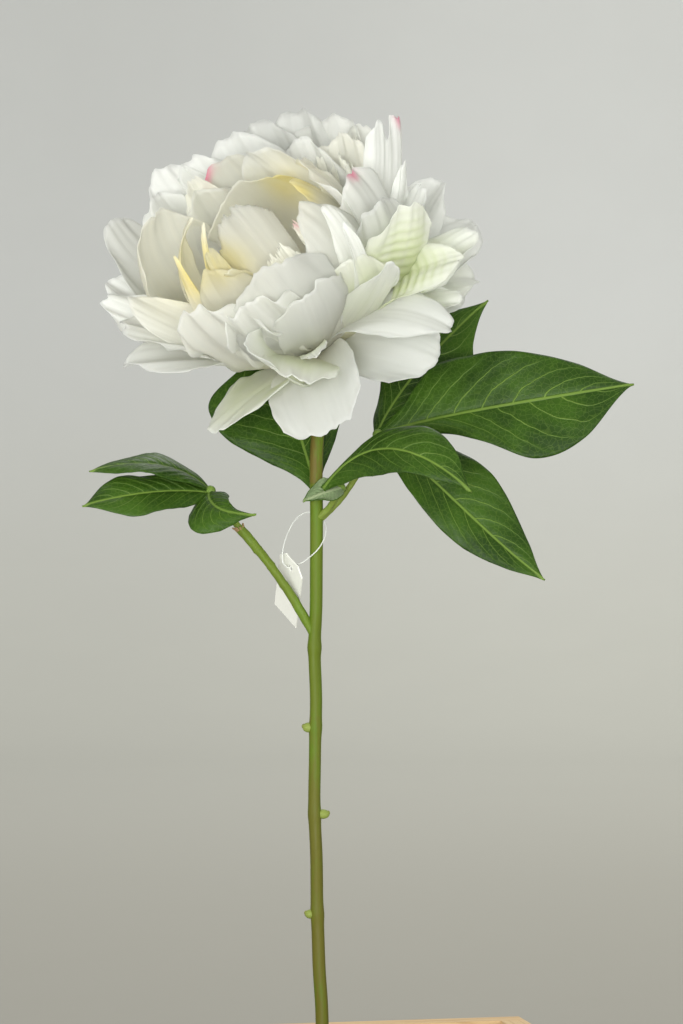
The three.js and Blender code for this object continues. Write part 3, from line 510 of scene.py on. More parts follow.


# The ways that petals usually have, and below them those of each group where they differ
# The last of the usual ways is how much painted shade darkens a petal's colour
PETAL_USUAL = dict(
    cup=30, bow=1, curl=0, ruffle=1.5, waves=3, round=0.2, notch=0, full=0.65, neck=0.3, roll=0, rise=10,
    root=6, face=None, warm=0.1, lime=0, pink=0, blush=0, crimp=0, fray=0, dim=0,
)
OUTER_USUAL = dict(cup=25, curl=3, ruffle=3, full=0.7)
OUTER = [
    petal(9, -72, -39, 44, cup=20, curl=1, ruffle=1, round=0.14, notch=0.03, full=0.6, bow=0.9, rise=32,
          dim=0.06),
    petal(55, -44, -7, 38, cup=12, curl=1, ruffle=1.2, full=0.72, bow=0.7, rise=32,
          face=(-0.2, -0.9, 0.35), dim=0.14),
    petal(62, -54, 8, 30, cup=14, ruffle=1, round=0.3, rise=45, face=(0, -0.8, 0.6), dim=0.12),
    petal(-43, -52, -39, 38, cup=14, curl=0, ruffle=0.6, round=0.5, full=0.5, bow=0.9, rise=25, lime=0.6),
    petal(-82, -46, -6, 36, cup=20, ruffle=3.2, round=0.25, bow=0.6, roll=-5, rise=42, dim=0.08),
    petal(-94, -10, 23, 22, curl=4, waves=4, rise=35, face=(-0.3, -0.9, 0.3)),
    petal(-82, -42, 13, 30, curl=5, waves=4, bow=0.8, roll=-20, rise=38, dim=0.18),
    petal(-92, 8, 33, 40, curl=4, waves=4),
    petal(-90, 0, 59, 44, cup=35, ruffle=2, round=0.3, full=0.6, dim=0.26),
    petal(69, 2, 28, 36, cup=20, ruffle=1.5, round=0.25, bow=0.6, roll=20),
    petal(75, 10, 36, 42, ruffle=2.5, round=0.3, bow=0.8, roll=20, lime=0.4),
]
CUP_USUAL = dict(curl=2)
CUP = [
    petal(-73, -22, 58, 66, cup=50, curl=0, round=0.22, bow=1.1, warm=0.35),
    petal(-51, -80, 16, 46, cup=25, curl=3, ruffle=3.5, waves=6, rise=25, warm=0.2, dim=0.03),
    petal(-29, -88, 17, 40, cup=25, ruffle=3.5, waves=6, round=0.15, rise=28, warm=0.2),
    petal(-80, -52, 20, 25, cup=35, round=0.4, full=0.8, bow=0.6, rise=38, face=(-0.3, -0.9, 0.3),
          warm=0.2),
    petal(-31, -91, -3, 32, curl=-3, round=0.5, full=0.5, rise=30, face=(0.3, -1, 0.3), lime=0.3),
    petal(-6, -82, -16, 34, cup=16, curl=1, ruffle=0.8, round=0.16, full=0.7, rise=34,
          face=(0.05, -0.94, 0.35), warm=0.2, lime=0.35),
    petal(2, -88, -6, 14, cup=20, curl=1, ruffle=0.5, round=0.3, full=0.6, rise=34, lime=0.3),
    petal(14, -66, 37, 36, cup=40, full=0.6, roll=-40, warm=0.3, lime=0.7),
    petal(33, -82, 35, 23, cup=40, round=0.3, full=0.55, roll=-40, rise=20, lime=0.2),
    petal(0, -88, 20, 42, cup=35, curl=-2, full=0.6, rise=28, warm=0.2, dim=0.1),
    petal(-21, -90, 30, 56, curl=-2, rise=25, warm=0.15, fray=0.012, dim=0.26),
    petal(-6, -66, 60, 46, curl=-2, round=0.4, full=0.6, bow=1.1, roll=-10, rise=15, warm=0.15, dim=0.1),
    petal(4, -72, 59, 26, curl=0, ruffle=1.2, round=0.6, full=0.55, bow=1.1, roll=-15, rise=15, warm=0.15),
    petal(13, -77, 51, 14, curl=0, round=0.55, full=0.6, bow=1.1, roll=-20, rise=15, warm=0.15),
    petal(14, -48, 73, 50, curl=0, round=0.15, bow=1.1, roll=-35, pink=0.9, blush=-0.25, dim=0.06),
    petal(24, -56, 60, 44, ruffle=2, round=0.12, bow=1.1, roll=-35, dim=0.26),
    petal(32, -14, 105, 30, cup=25, curl=0, ruffle=1.2, round=0.06, notch=0.1, full=0.5, roll=-70,
          pink=0.8, blush=-0.7),
    petal(40, -26, 83, 16, cup=25, curl=0, ruffle=1.2, round=0.3, full=0.55, roll=-60),
    petal(40, -70, 61, 35, cup=35, full=0.6, roll=-50, warm=0.2, lime=0.8, crimp=0.7),
    petal(47, -28, 72, 40, ruffle=2, full=0.6),
    petal(57, 0, 78, 38, ruffle=3, round=0.25, full=0.6, roll=20, dim=0.08),
    petal(74, 0, 58, 42, cup=25, curl=3, ruffle=3, full=0.7, roll=25, dim=0.06),
    petal(71, -30, 52, 32, curl=3, ruffle=2, round=0.25, roll=20, lime=0.6),
    petal(65, -50, 39, 28, ruffle=2, roll=15, rise=30, warm=0.2, lime=0.8, crimp=0.8),
    petal(66, -30, 24, 22, cup=25, ruffle=2, round=0.25, roll=10, lime=0.3),
    petal(-58, 26, 89, 44, ruffle=3, waves=4, dim=0.08),
    petal(-71, 22, 84, 44, curl=3, ruffle=3, waves=4, dim=0.06),
    petal(-72, 12, 70, 42, curl=3, ruffle=3, waves=4, dim=0.06),
    petal(-41, 34, 101, 50, ruffle=3, waves=4, round=0.18, dim=0.12),
    petal(-30, 44, 108, 48, ruffle=3, waves=4, round=0.18, dim=0.28),
    petal(-12, 44, 114, 50, ruffle=3, waves=4, round=0.18, dim=0.26),
]
HEART_USUAL = dict(cup=35, round=0.3, full=0.7, warm=0.3)
HEART = [
    petal(6, 34, 110, 58, ruffle=3, waves=4, round=0.12, full=0.65, warm=0.2, dim=0.15),
    petal(20, 20, 105, 48, ruffle=2.5, round=0.15, full=0.65, fray=0.012, dim=0.08),
    petal(-42, 4, 87, 50, cup=45, ruffle=2, round=0.1, warm=0.7, pink=0.9, blush=-0.5, dim=0.34),
    petal(-29, -14, 80, 74, cup=50, curl=-4, ruffle=2, round=0.1, warm=0.2, fray=0.015),
    petal(-56, -4, 77, 26, cup=40, ruffle=2, round=0.2, full=0.65, warm=0.4, fray=0.012),
    petal(13, 8, 100, 46, ruffle=2.5, round=0.15, full=0.65, warm=0.6, fray=0.015, dim=0.06),
    petal(-38, -62, 59, 30, cup=25, curl=-2, ruffle=1.2, round=0.12, full=0.9, neck=0.15, bow=0.6,
          face=(-0.3, 0.9, 0.3), warm=0.35, fray=0.02, dim=0.36),
    petal(-11, -38, 72, 32, cup=40, ruffle=1.2, round=0.5, full=0.6, roll=-30),
    petal(0, -28, 78, 30, round=0.4, full=0.6, roll=-50),
    petal(-46, -68, 40, 17, curl=-2, round=0.35, full=0.9, neck=0.12, bow=0.5, dim=0.34),
    petal(-59, -54, 38, 12, round=0.4, bow=0.6, warm=0.6),
    petal(-53, -38, 56, 26, bow=0.8, warm=0.6),
    petal(-60, -58, 39, 9, cup=30, ruffle=0.8, round=0.6, full=0.6, bow=0.5),
    petal(-45, -70, 31, 36, cup=30, curl=-2, full=0.85, bow=0.6, rise=20, warm=0.9, dim=0.24),
    petal(-48, -46, 54, 9, cup=30, ruffle=0.8, round=0.5, bow=0.5, warm=0.5),
    petal(-37, -76, 30, 20, cup=20, ruffle=0.8, round=0.55, full=0.5, bow=1.6, rise=75),
    petal(-20, -72, 39, 17, cup=25, ruffle=1.2, bow=0.6, fray=0.05),
    petal(-16, -70, 43, 20, cup=25, ruffle=1.2, bow=0.6, fray=0.05),
    petal(-11, -58, 54, 14, cup=25, ruffle=1.2, round=0.35, bow=0.8, pink=0.5, fray=0.05),
]
# Small ragged petals crowded between the arch over the cup and the petals behind it
RAGGED_USUAL = dict(ruffle=2, round=0.3, warm=0.4, fray=0.04)
RAGGED = [
    petal(-5, 2, 86, 15, round=0.35),
    petal(1, 6, 90, 17, cup=35),
    petal(6, 0, 84, 14, curl=2, round=0.4, warm=0.5, fray=0.05),
    petal(11, 4, 91, 16),
    petal(15, 1, 85, 15, cup=35, curl=1, round=0.35),
    petal(-12, -2, 84, 16),
]
# Where the open cup gets a painted glow, the light that comes through its cream petals deep in the cup: place
# from the receptacle, reach and strength
PAINTED_GLOW_DEPTHS = [
    ((-33, -20, 46), (38, 34, 30), 0.6),
    ((-12, -28, 67), (14, 34, 17), 1.2),
    ((-42, -56, 33), (24, 34, 15), 0.8),
    ((-64, -48, 27), (20, 26, 24), 0.3),
]
# Rings on the side turned away: radius, height about the axis, petals, the arc they fill, width
REAR_RINGS = [
    (80, 6, 6, 162, 258, 52), (80, 34, 7, 142, 255, 50), (66, 62, 4, 150, 230, 46), (42, 80, 3, 185, 275, 44),
]
# The rear petals get some painted shade
REAR_USUAL = dict(cup=22, curl=3, ruffle=2.5, waves=4, dim=0.14)
# Counted on from here, the rear petals get their own small turns and lengths
REAR_NUMBER = 54


def rear_petals():
    forward = np.array((0.0, -1.0, 0.0))
    forward = unit(forward - BLOOM_AXIS * forward.dot(BLOOM_AXIS))
    left = np.cross(forward, BLOOM_AXIS)
    rows = []
    for radius, height, count, start, end, width in REAR_RINGS:
        for k in range(count):
            n = REAR_NUMBER + len(rows)
            turn = math.radians(start + (end - start) * k / (count - 1) + 6 * math.sin(12.9 * n))
            tip = (forward * math.cos(turn) + left * math.sin(turn)) * (radius + 4 * math.sin(7.3 * n))
            tip = tip + BLOOM_AXIS * (height + 5 * math.sin(3.7 * n))
            rows.append(petal(*tip, width + 4 * math.sin(5.1 * n)))
    return rows


def petal_spine(p):
    """Cubic from the receptacle to the tip, leaving it square to the axis, and the way across it."""
    tip = np.asarray(p["tip"], float)
    outward = unit(tip - BLOOM_AXIS * tip.dot(BLOOM_AXIS))
    base = outward * p["root"]
    chord = tip - base
    length = np.linalg.norm(chord)
    chord = chord / length
    rise = math.radians(p["rise"])
    start = outward * math.cos(rise) + BLOOM_AXIS * math.sin(rise)
    turn = math.acos(np.clip(start.dot(chord), -1, 1))
    end = 2 * start.dot(chord) * chord - start
    reach = length * 0.333 / max(0.45, math.cos(turn / 2) ** 2)
    facing = np.asarray(p["face"] if p["face"] else BLOOM_AXIS, float)
    facing = rotate(unit(facing - chord * facing.dot(chord)), chord, math.radians(p["roll"]))
    start, end = (way * p["bow"] + chord * (1 - p["bow"]) for way in (start, end))
    return (base, base + start * reach, tip - end * reach, tip), np.cross(chord, facing)


# How much shorter than their rows the petals are, so that their torn rims stay inside the solids
PETAL_SHORTER = 0.012
NOTCH_WIDTH = 0.2
# Petals as wide as this have the whole frill, and narrower ones a smaller one
FULL_FRILL = 45
# Where the pink of a tip begins, and how far it spreads across
TINT_START, TINT_WIDTH = 0.94, 0.2


def petal_grid(p, number):
    """Points of one petal, with the fine pleats, folds and torn edge that each has of its own."""
    ends, side = petal_spine(p)
    luck = np.random.default_rng(SEED + number)
    u, v = places(CRIMPED_CELLS if p["crimp"] else PETAL_CELLS)
    v = v**0.85
    edge = np.abs(u)
    a, b, c, d, e, f = luck.uniform(0, 6.28, 6)
    torn = ripples(u, (0.007, 9, a), (0.004, 15, b), (0.0018, 29, c), (0.0008, 47, d)) - PETAL_SHORTER
    w = v * (1 - p["round"] * edge**2.4 - p["notch"] * hump(u, 0, NOTCH_WIDTH) + torn)
    w = w - p["fray"] * luck.uniform(0, 1, (len(u), 1)) * v**8
    point, along = cubic(ends, w)
    inward = unit(np.cross(side, along))
    across = np.cross(along, inward)
    swell = np.sin(math.pi / 2 * np.minimum(1, w / p["full"])) ** 0.85
    taper = np.maximum(0, (w - p["full"]) / (1.0001 - p["full"])) ** 2
    half = p["width"] / 2 * (p["neck"] + (1 - p["neck"]) * swell) * (1 - 0.22 * taper)
    half = half * (1 + 0.012 * np.sin(31 * v + d) * v)
    bend = math.radians(p["cup"])
    wave = np.sin(math.pi * p["waves"] * u / 1.6 + p["phase"]) * (0.35 + 0.65 * edge) * v**2
    flutter = edge**3 * np.sin(2.6 * p["waves"] * v + 2.1 * p["phase"]) * np.minimum(1, 2 * v)
    hollow = half * (1 - np.cos(bend * u)) / bend - p["curl"] * np.maximum(0, (v - 0.6) / 0.4) ** 2
    pleats = ripples(u, (0.07, 19, e), (0.05, 33, f + 2 * v), (0.03, 51, a)) * (0.25 + 0.75 * v) * swell
    sides = edge**4 * v * ripples(v, (0.8, 15, b), (0.5, 27, e + 3 * u))
    end = v**7 * ripples(u, (0.7, 8, c), (0.45, 15, f), (0.25, 27, d))
    fold = luck.uniform(-0.5, 0.5)
    crease = luck.uniform(-0.7, 0.7) * hump(u, fold + 0.15 * v, 0.1) * np.sin(math.pi * v)
    ribs = p["crimp"] * np.sin(118 * w + 5 * u * u) * hump(v, 0.6, 0.26) * (1 - 0.7 * u * u)
    frill = (sides + end) * min(1, p["width"] / FULL_FRILL)
    lift = hollow + p["ruffle"] * (wave + 0.7 * flutter) + pleats + frill + crease + 0.6 * ribs
    grid = point + across * (half * np.sin(bend * u) / bend)[..., None] + inward * lift[..., None]
    return grid + RECEPTACLE, u, v, ribs


def petals():
    silk = petal_material("petal_silk")
    groups = [
        ("petals_outer", OUTER_USUAL, OUTER),
        ("petals_cup", CUP_USUAL, CUP),
        ("petals_heart", HEART_USUAL, HEART),
        ("petals_rear", REAR_USUAL, rear_petals()),
        ("petals_heart", RAGGED_USUAL, RAGGED),
    ]
    shells = {name: Shell() for name, _, _ in groups}
    listed = [(name, {**usual, **row}) for name, usual, rows in groups for row in rows]
    for number, (name, row) in enumerate(listed):
        p = {**PETAL_USUAL, "phase": number * 2.4, **row}
        grid, u, v, ribs = petal_grid(p, number)
        thickness = PETAL_THICKNESS * (1 - 0.45 * v * v)
        # Painted glow of light through the petals, strongest deep in the cup
        glow = sum(share * np.exp(-(((grid - RECEPTACLE - place) / reach) ** 2).sum(-1))
                   for place, reach, share in PAINTED_GLOW_DEPTHS)
        tip = np.maximum(0, v - TINT_START) / (1 - TINT_START)
        pink = p["pink"] * tip * hump(u, p["blush"], TINT_WIDTH)
        # The grooves between a crimped petal's ribs get painted shade
        shells[name].blade(grid, thickness, along=v, across=u, own=number * 7.31, glow=glow, pink=pink,
                           furrow=np.maximum(0, -ribs), warm=p["warm"], lime=p["lime"], dim=p["dim"])
    for name, shell in shells.items():
        settle(shell.piece(name, [silk, silk]), "petal", "bloom")


# Leaves: a bent midrib with half widths, at even steps along it, to its left and its right
LEAVES = {
    "leaf_right": [
        dict(rib=[(25, 5, 427.2), (47.5, 0, 434.8), (88.7, -3, 441.4), (139.5, -8, 449.3)],
             left=(2, 9, 25, 26, 23, 15, 0), right=(1.5, 3.4, 7, 17, 28, 22, 0),
             up=(0.1, -0.93, 0.35), fold=10, wave=2.5, phase=0),
        dict(rib=[(25.5, 4, 425.8), (42.9, -4, 416.2), (73.1, -12, 380.4), (99.3, -14, 361.7)],
             left=(1.5, 9, 18, 21, 17.5, 10, 0), right=(1.5, 6, 12, 15, 13.5, 8, 0),
             up=(0.2, -0.9, 0.35), fold=12, wave=1.5, phase=1),
        dict(rib=[(25, 6, 428.1), (30.2, 18, 440.7), (44.7, 34, 462), (76.1, 36, 489.7)],
             left=(2, 6, 9, 15, 17, 11, 0), right=(2, 8, 13, 21, 25.5, 11, 0),
             up=(-0.3, -0.9, 0.3), fold=8, wave=1.5, phase=2),
    ],
    "leaf_front": [
        dict(rib=[(0.3, -15, 402.2), (15.8, -27, 423.8), (35.9, -44, 427.8), (65.2, -52, 400.7)],
             left=(1.5, 2.5, 5.5, 11.5, 16, 11, 0), right=(1.5, 8, 12, 13, 11.5, 7, 0),
             up=(0, -0.85, 0.52), fold=10, wave=1.5, phase=3),
        dict(rib=[(8.3, -9, 402.7), (4.3, -14, 401.8), (-1, -17, 400.5), (-8.6, -18, 396.4)],
             left=(1.5, 4.5, 6, 6, 4.5, 2.5, 0), right=(1.5, 4.5, 6, 6, 4.5, 2.5, 0),
             up=(0, 0.85, -0.5), fold=8, wave=0.5, phase=0),
    ],
    "leaf_rear": [
        dict(rib=[(-2.9, 2, 401), (-7.6, 14, 420.2), (-15, 24, 443.2), (-27.9, 30, 468.7)],
             left=(1.5, 8, 20, 32, 35.5, 31, 0), right=(1.5, 6, 15, 22, 22, 12, 0),
             up=(0, -0.92, 0.38), fold=8, wave=1.5, phase=1),
    ],
    "leaf_left": [
        dict(rib=[(-50.2, 0, 401.4), (-64, -2, 414.9), (-82.7, -5, 416.2), (-104.5, -8, 410.4)],
             left=(1, 8, 11, 12.5, 11, 6, 0), right=(1, 8, 12, 14, 12, 7, 0),
             up=(0, -0.35, 0.94), fold=10, wave=1, phase=0),
        dict(rib=[(-50.1, -1, 400.5), (-65.5, -9, 402.7), (-85.2, -15, 400.9), (-106.7, -19, 394.7)],
             left=(1, 7, 10, 12, 12.5, 7, 0), right=(1, 7, 10, 11, 12.5, 8, 0),
             up=(0, -0.75, 0.66), fold=12, wave=1, phase=2),
        dict(rib=[(-51, -1, 401.4), (-51.9, -14, 395.6), (-44.3, -26, 390.2), (-29.2, -30, 391.1)],
             left=(1, 7, 8, 6, 3.5, 2, 0), right=(1, 8, 13, 15, 9, 3, 0),
             up=(-0.25, -0.85, 0.45), fold=10, wave=1, phase=1),
    ],
}
# Half the width that is left at the tip; the swelling between the side ribs; the groove along the midrib
LEAF_TIP, QUILT_HEIGHT, GROOVE_DEPTH, GROOVE_WIDTH = 0.4, 0.35, 0.3, 0.9
# Collars round the ends of the stalks, where the leaflets of a spray meet
COLLARS = {"leaf_right": (25, 5, 427), "leaf_front": (8, -7.5, 402.8), "leaf_left": (-50.5, 0, 401.5)}
COLLAR_RADIUS = 2.5


def half_width(stations, v):
    """Smooth half width between the stations."""
    s = np.asarray(stations, float)
    last = len(s) - 1
    x = np.minimum(0.999999, v) * last
    i = np.floor(x).astype(int)
    f = x - i

    def at(k):
        return s[np.clip(k, 0, last)]

    before, after = (at(i + 1) - at(i - 1)) / 2, (at(i + 2) - at(i)) / 2
    return np.maximum(0, (2 * f**3 - 3 * f**2 + 1) * at(i) + (f**3 - 2 * f**2 + f) * before
                      + (3 * f**2 - 2 * f**3) * at(i + 1) + (f**3 - f**2) * after)


def leaf_grid(leaf):
    u, v = places(LEAF_CELLS)
    point, along = cubic(leaf["rib"], v)
    up = np.asarray(leaf["up"], float)
    up = unit(up - along * (along @ up)[..., None])
    across = np.cross(along, up)
    stations = np.where(u < 0, half_width(leaf["left"], v), half_width(leaf["right"], v))
    out = u * np.maximum(LEAF_TIP, stations)
    side = np.abs(u)
    middle = np.maximum(0, np.sin(math.pi * v))
    ripple = np.sin(4 * math.pi * v + leaf["phase"] + np.where(u < 0, 0, 1.7))
    height = np.abs(out) * math.tan(math.radians(leaf["fold"])) - 3 * side**2.5 * np.sqrt(middle)
    height = height + leaf["wave"] * u * u * ripple * middle**0.6
    bent = v - RIB_LEAN * side**RIB_BOW
    rests = np.abs(np.sin(math.pi * (LEAF_RIBS * bent + 0.5 + 0.25 * np.sign(u))))
    height = height + QUILT_HEIGHT * rests * middle * np.minimum(1, 6 * side)
    height = height - GROOVE_DEPTH * hump(out, 0, GROOVE_WIDTH)
    grid = point + across * out[..., None] + up * height[..., None]
    return grid, u, v, np.abs(out)


def leaves():
    faces = [leaf_material("leaf_upper", **LEAF_TOP), leaf_material("leaf_under", **LEAF_UNDER)]
    for name, leaflets in LEAVES.items():
        shell = Shell()
        for leaf in leaflets:
            grid, u, v, reach = leaf_grid(leaf)
            shell.blade(grid, LEAF_THICKNESS * (1 - 0.4 * np.abs(u)), along=v, across=u, reach=reach)
        if name in COLLARS:
            ball(shell, COLLARS[name], [COLLAR_RADIUS] * 3, along=0.0, across=0.0, reach=0.0)
        settle(shell.piece(name + "_blades", faces), "leaf", name)


# Stem, branch and stalks
STEM_PATH = [
    (0, 0, 65), (0, 0, 150), (-0.4, 0, 170), (-1.6, 0, 190), (-2.4, 0, 212), (-2.8, 0, 236),
    (-3.6, 0, 262), (-3.3, 0, 285), (-3, 0, 307), (-3.6, 0, 332), (-2.8, 0, 352), (-2.7, 0, 390),
    (-2.7, 0, 420), (-1, 3, 438), (3, 7, 453.5),
]
BRANCH_PATH = [(-3.3, 0, 336), (-12, -0.5, 351), (-22, -1, 366), (-31, -1.5, 377.5), (-37.5, -2, 385)]
LEFT_STALK = [(-36.5, -2, 383.5), (-42, -0.5, 391), (-47, 0, 397), (-50.5, 0, 401.5)]
RIGHT_STALK = [(-2, 0, 388), (5, 1, 394.5), (12, 2, 403), (19, 3.5, 415), (25, 5, 427)]
FRONT_STALK = [(-2, -1, 389), (3, -3, 394), (6, -5.5, 399), (8, -7.5, 402.8)]
STEM_RADIUS, BRANCH_RADIUS, STALK_RADIUS = 2.85, 2.05, 1.45
STEM_STEPS, STEM_SIDES = 260, 28
# Knobs beside the stem: place, radius and how far they stand out
BUDS = [((-6.2, 0, 295), 2.4, 1.2), ((0.2, 0, 256), 2.3, 1.3), ((-5.4, 0, 211), 2.2, 1.2)]
# The stem is thicker at its node, where the branch leaves it, and browner above and below these heights
NODE_HEIGHT, BROWN_ABOVE, BROWN_BELOW = 331, 405, 300
# Moulding rings on the branch, by their share of its length
BRANCH_RINGS = (0.42, 0.58, 0.74)
BRANCH_END_WAY = np.array((-0.6, 0, 0.8))
TORN_FIBRES = 9


def ball(shell, centre, radii, sides=20, rings=12, slot=0, **values):
    """A closed rounded lump."""
    polar = np.linspace(0.02, math.pi - 0.02, rings)
    angle = circle(sides)
    x = np.sin(polar)[:, None] * np.cos(angle) * radii[0]
    y = np.sin(polar)[:, None] * np.sin(angle) * radii[1]
    z = np.cos(polar)[:, None] * np.ones(sides) * radii[2]
    points = np.stack([x, y, z], -1) + np.asarray(centre)
    faces, index, beside = sleeve(rings, sides)
    poles = np.stack([points[0].mean(0), points[-1].mean(0)])
    ends = [fan(beside[0], index[0], index.size), fan(index[-1], beside[-1], index.size + 1)]
    shell.add(np.concatenate([points.reshape(-1, 3), poles]), np.concatenate([faces, *ends])[:, ::-1], slot,
              **values)


def wobble(angle, t):
    """The small unevenness of moulded stems."""
    return (0.10 * np.sin(2 * angle + 9 * t) + 0.07 * np.sin(3 * angle - 23 * t)
            + 0.05 * np.sin(61 * t + angle))


def branch_end(shell):
    """Fibres torn up round the end of the cut branch."""
    for k in range(TORN_FIBRES):
        turn = 2 * math.pi * k / TORN_FIBRES
        way = np.array((0.84 * math.cos(turn), math.sin(turn), 0.62 * math.cos(turn)))
        start = BRANCH_PATH[-1] + way * 1.5 - BRANCH_END_WAY
        length = 1.6 + 1.1 * math.sin(5.3 * k)
        fibre = [start, start + way * 0.5 + BRANCH_END_WAY * 0.6 * length,
                 start + way * 1.1 + BRANCH_END_WAY * length]
        shell.tube(through(fibre, 8), np.linspace(0.75, 0.3, 8), 8, slot=1, brown=0.0, pale=0.0)


def stem():
    shell = Shell()
    line = through(STEM_PATH, STEM_STEPS)
    z = line[:, 2]
    swelling = 0.45 * hump(z, NODE_HEIGHT, 3.0)
    for centre, _, _ in BUDS:
        swelling = swelling + 0.3 * hump(z, centre[2], 3.5)
    brown = np.repeat(0.2 + 0.45 * (z > BROWN_ABOVE) + 0.15 * (z < BROWN_BELOW), STEM_SIDES)
    brown = np.concatenate([brown, [0, 0]])
    shell.tube(line, STEM_RADIUS + swelling, STEM_SIDES, bulge=wobble, brown=brown, pale=0.0)
    branch = through(BRANCH_PATH, 70)
    length = np.linspace(0, 1, len(branch))
    rings = sum(0.22 * hump(length, place, 0.012) for place in BRANCH_RINGS)
    radii = BRANCH_RADIUS + rings + 0.15 * length**6
    shell.tube(branch, radii, 24, bulge=wobble, brown=0.15, pale=0.12)
    branch_end(shell)
    for stalk in (LEFT_STALK, RIGHT_STALK, FRONT_STALK):
        shell.tube(through(stalk, 40), STALK_RADIUS, 18, bulge=wobble, brown=0.2, pale=0.35)
    for centre, radius, stretch in BUDS:
        ball(shell, centre, (radius * stretch, radius, radius * 0.95), brown=0.1, pale=0.7)
        tip = np.asarray(centre, float) + (math.copysign(radius * stretch * 0.75, centre[0] + 3), 0, 0.5)
        ball(shell, tip, (radius * 0.42, radius * 0.55, radius * 0.5), 14, 9, brown=0.5, pale=0.5)
    cut = plain_material("cut_end", CUT_BROWNS, (1800, 4.0, 0.7), 0.85, (0.6, 0.0006), 0.2)
    settle(shell.piece("stem_moulded", [stem_material(), cut]), "stem", "stem")


# Calyx: a cup and five sepals under the petals
SEPALS, SEPAL_LENGTH, SEPAL_WIDTH, SEPAL_DROOP = 5, 15, 12, 0.55
CALYX_PROFILE = [(0, 0, -16), (4.6, 0, -15), (6, 0, -10), (11, 0, -2)]
CALYX_RINGS, CALYX_SIDES = 24, 40


def calyx():
    tilt = np.array(Vector((0, 0, 1)).rotation_difference(Vector(BLOOM_AXIS)).to_matrix()).T
    shell = Shell()
    profile = through(CALYX_PROFILE, CALYX_RINGS)
    angle = circle(CALYX_SIDES)
    r = np.maximum(profile[:, 0], 0.05)[:, None] * (1 + 0.02 * np.sin(5 * angle))
    cup = np.stack([r * np.cos(angle), r * np.sin(angle), profile[:, 2:] * np.ones(CALYX_SIDES)], -1)
    faces, index, beside = sleeve(CALYX_RINGS, CALYX_SIDES)
    ends = [fan(beside[0], index[0], index.size), fan(index[-1], beside[-1], index.size + 1)]
    points = np.concatenate([cup.reshape(-1, 3), np.array(CALYX_PROFILE)[[0, -1]] * (0, 0, 1)])
    shell.add(points @ tilt + RECEPTACLE, np.concatenate([faces[:, [0, 3, 2, 1]], *ends]))
    u, v = places(SEPAL_CELLS)
    half = SEPAL_WIDTH / 2 * np.sin(math.pi * (0.15 + 0.8 * v)) ** 0.7
    reach = 4 + SEPAL_LENGTH * v * (1 - 0.15 * u * u)
    height = -5.5 - reach * SEPAL_DROOP + 1.5 * u * u + 0.25 * np.sin(9 * u) * v
    sepal = np.stack([reach, u * half, height], -1)
    for turn in circle(SEPALS):
        shell.blade(rotate_flat(sepal, turn) @ tilt + RECEPTACLE, SEPAL_THICKNESS)
    green = plain_material("calyx_green", CALYX_GREENS, ((300, 300, 90), 3.0), 0.5, (0.3, 0.0005), 0.4, 0.1)
    settle(shell.piece("calyx_cup", [green, green]), "calyx", "calyx")


# Hang tag and its loop
LOOP_PATH = [
    (-14.1, -0.85, 367.3), (-15.4, -1.6, 366.9), (-17.6, -2.2, 368.9), (-18, -1.8, 373), (-17.2, -0.4, 378),
    (-15.4, 1.2, 383), (-12.6, 2.6, 388), (-9, 3.8, 391.2), (-5.7, 4.2, 391.8), (-2.6, 4, 390),
    (0.7, 2.5, 387.6), (1.6, 0, 384), (0.5, -2.3, 379.3), (-2.4, -3.8, 374.8), (-5.6, -3.1, 371.9),
    (-9, -1.8, 369.4), (-12.6, -0.1, 367.9),
]
LOOP_RADIUS, LOOP_STEPS, LOOP_SIDES = 0.28, 180, 12


def loop():
    """The filament as a tube whose end runs into its start."""
    shell = Shell()
    path = [LOOP_PATH[-1], *LOOP_PATH, *LOOP_PATH[:2]]
    ring = through(path, LOOP_STEPS * (len(LOOP_PATH) + 2) // len(LOOP_PATH))
    start = np.argmin(np.linalg.norm(ring - LOOP_PATH[0], axis=1))
    ring = ring[start:start + LOOP_STEPS]
    way = unit(np.roll(ring, -1, axis=0) - np.roll(ring, 1, axis=0))
    side = unit(np.cross(way, unit(ring - ring.mean(0))))
    other = np.cross(way, side)
    angle = circle(LOOP_SIDES)[:, None]
    points = ring[:, None] + LOOP_RADIUS * (side[:, None] * np.cos(angle) + other[:, None] * np.sin(angle))
    _, index, beside = sleeve(len(ring), LOOP_SIDES)
    ahead, both = np.roll(index, -1, axis=0), np.roll(beside, -1, axis=0)
    shell.add(points, np.stack([index, ahead, both, beside], -1).reshape(-1, 4))
    clear = plain_material("clear_filament", FILAMENT_TONES, (500, 2.0), 0.25, (0.05, 0.0002), 0.5, 0.45)
    settle(shell.piece("tag_filament", [clear]), "filament", "tag_loop")


# Planter and soil
def dress(node, material, bevel=0.0):
    """A CAD node keeps its shape and gets a finished material and softened edges."""
    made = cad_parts[node]
    made.data.materials.clear()
    made.data.materials.append(material)
    if bevel:
        soften = made.modifiers.new("edges", "BEVEL")
        soften.width = bevel
        soften.segments = 3
        soften.limit_method = "ANGLE"


def planter():
    boards = [node for node in sorted(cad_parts) if node.startswith("board_")]
    for k, node in enumerate(boards):
        lengthwise = "X" if "front" in node or "back" in node else "Y"
        dress(node, wood_material("wood_" + node, lengthwise, (3.1 * k, 1.7 * k, 2.3 * k)), 0.0012)
    dress("planter_floor", wood_material("wood_floor", "X", (9, 2, 5)), 0.001)
    for k in range(4):
        dress(f"post_{k + 1}", wood_material(f"wood_post_{k + 1}", "Z", (k, 4, 2 * k)), 0.001)


SOIL_TOP, SOIL_RELIEF, SOIL_CELLS = 125, 2.5, 110
# Height, rates and starts of the small waves that the soil's face has along X and Y
SOIL_WAVES = [(0.5, 0.41, 1.0, 0.37, 2.0), (0.35, 0.83, 0.3, 0.91, 1.1), (0.25, 1.7, 2.0, 1.5, 0.4)]
CRUMBS = 900


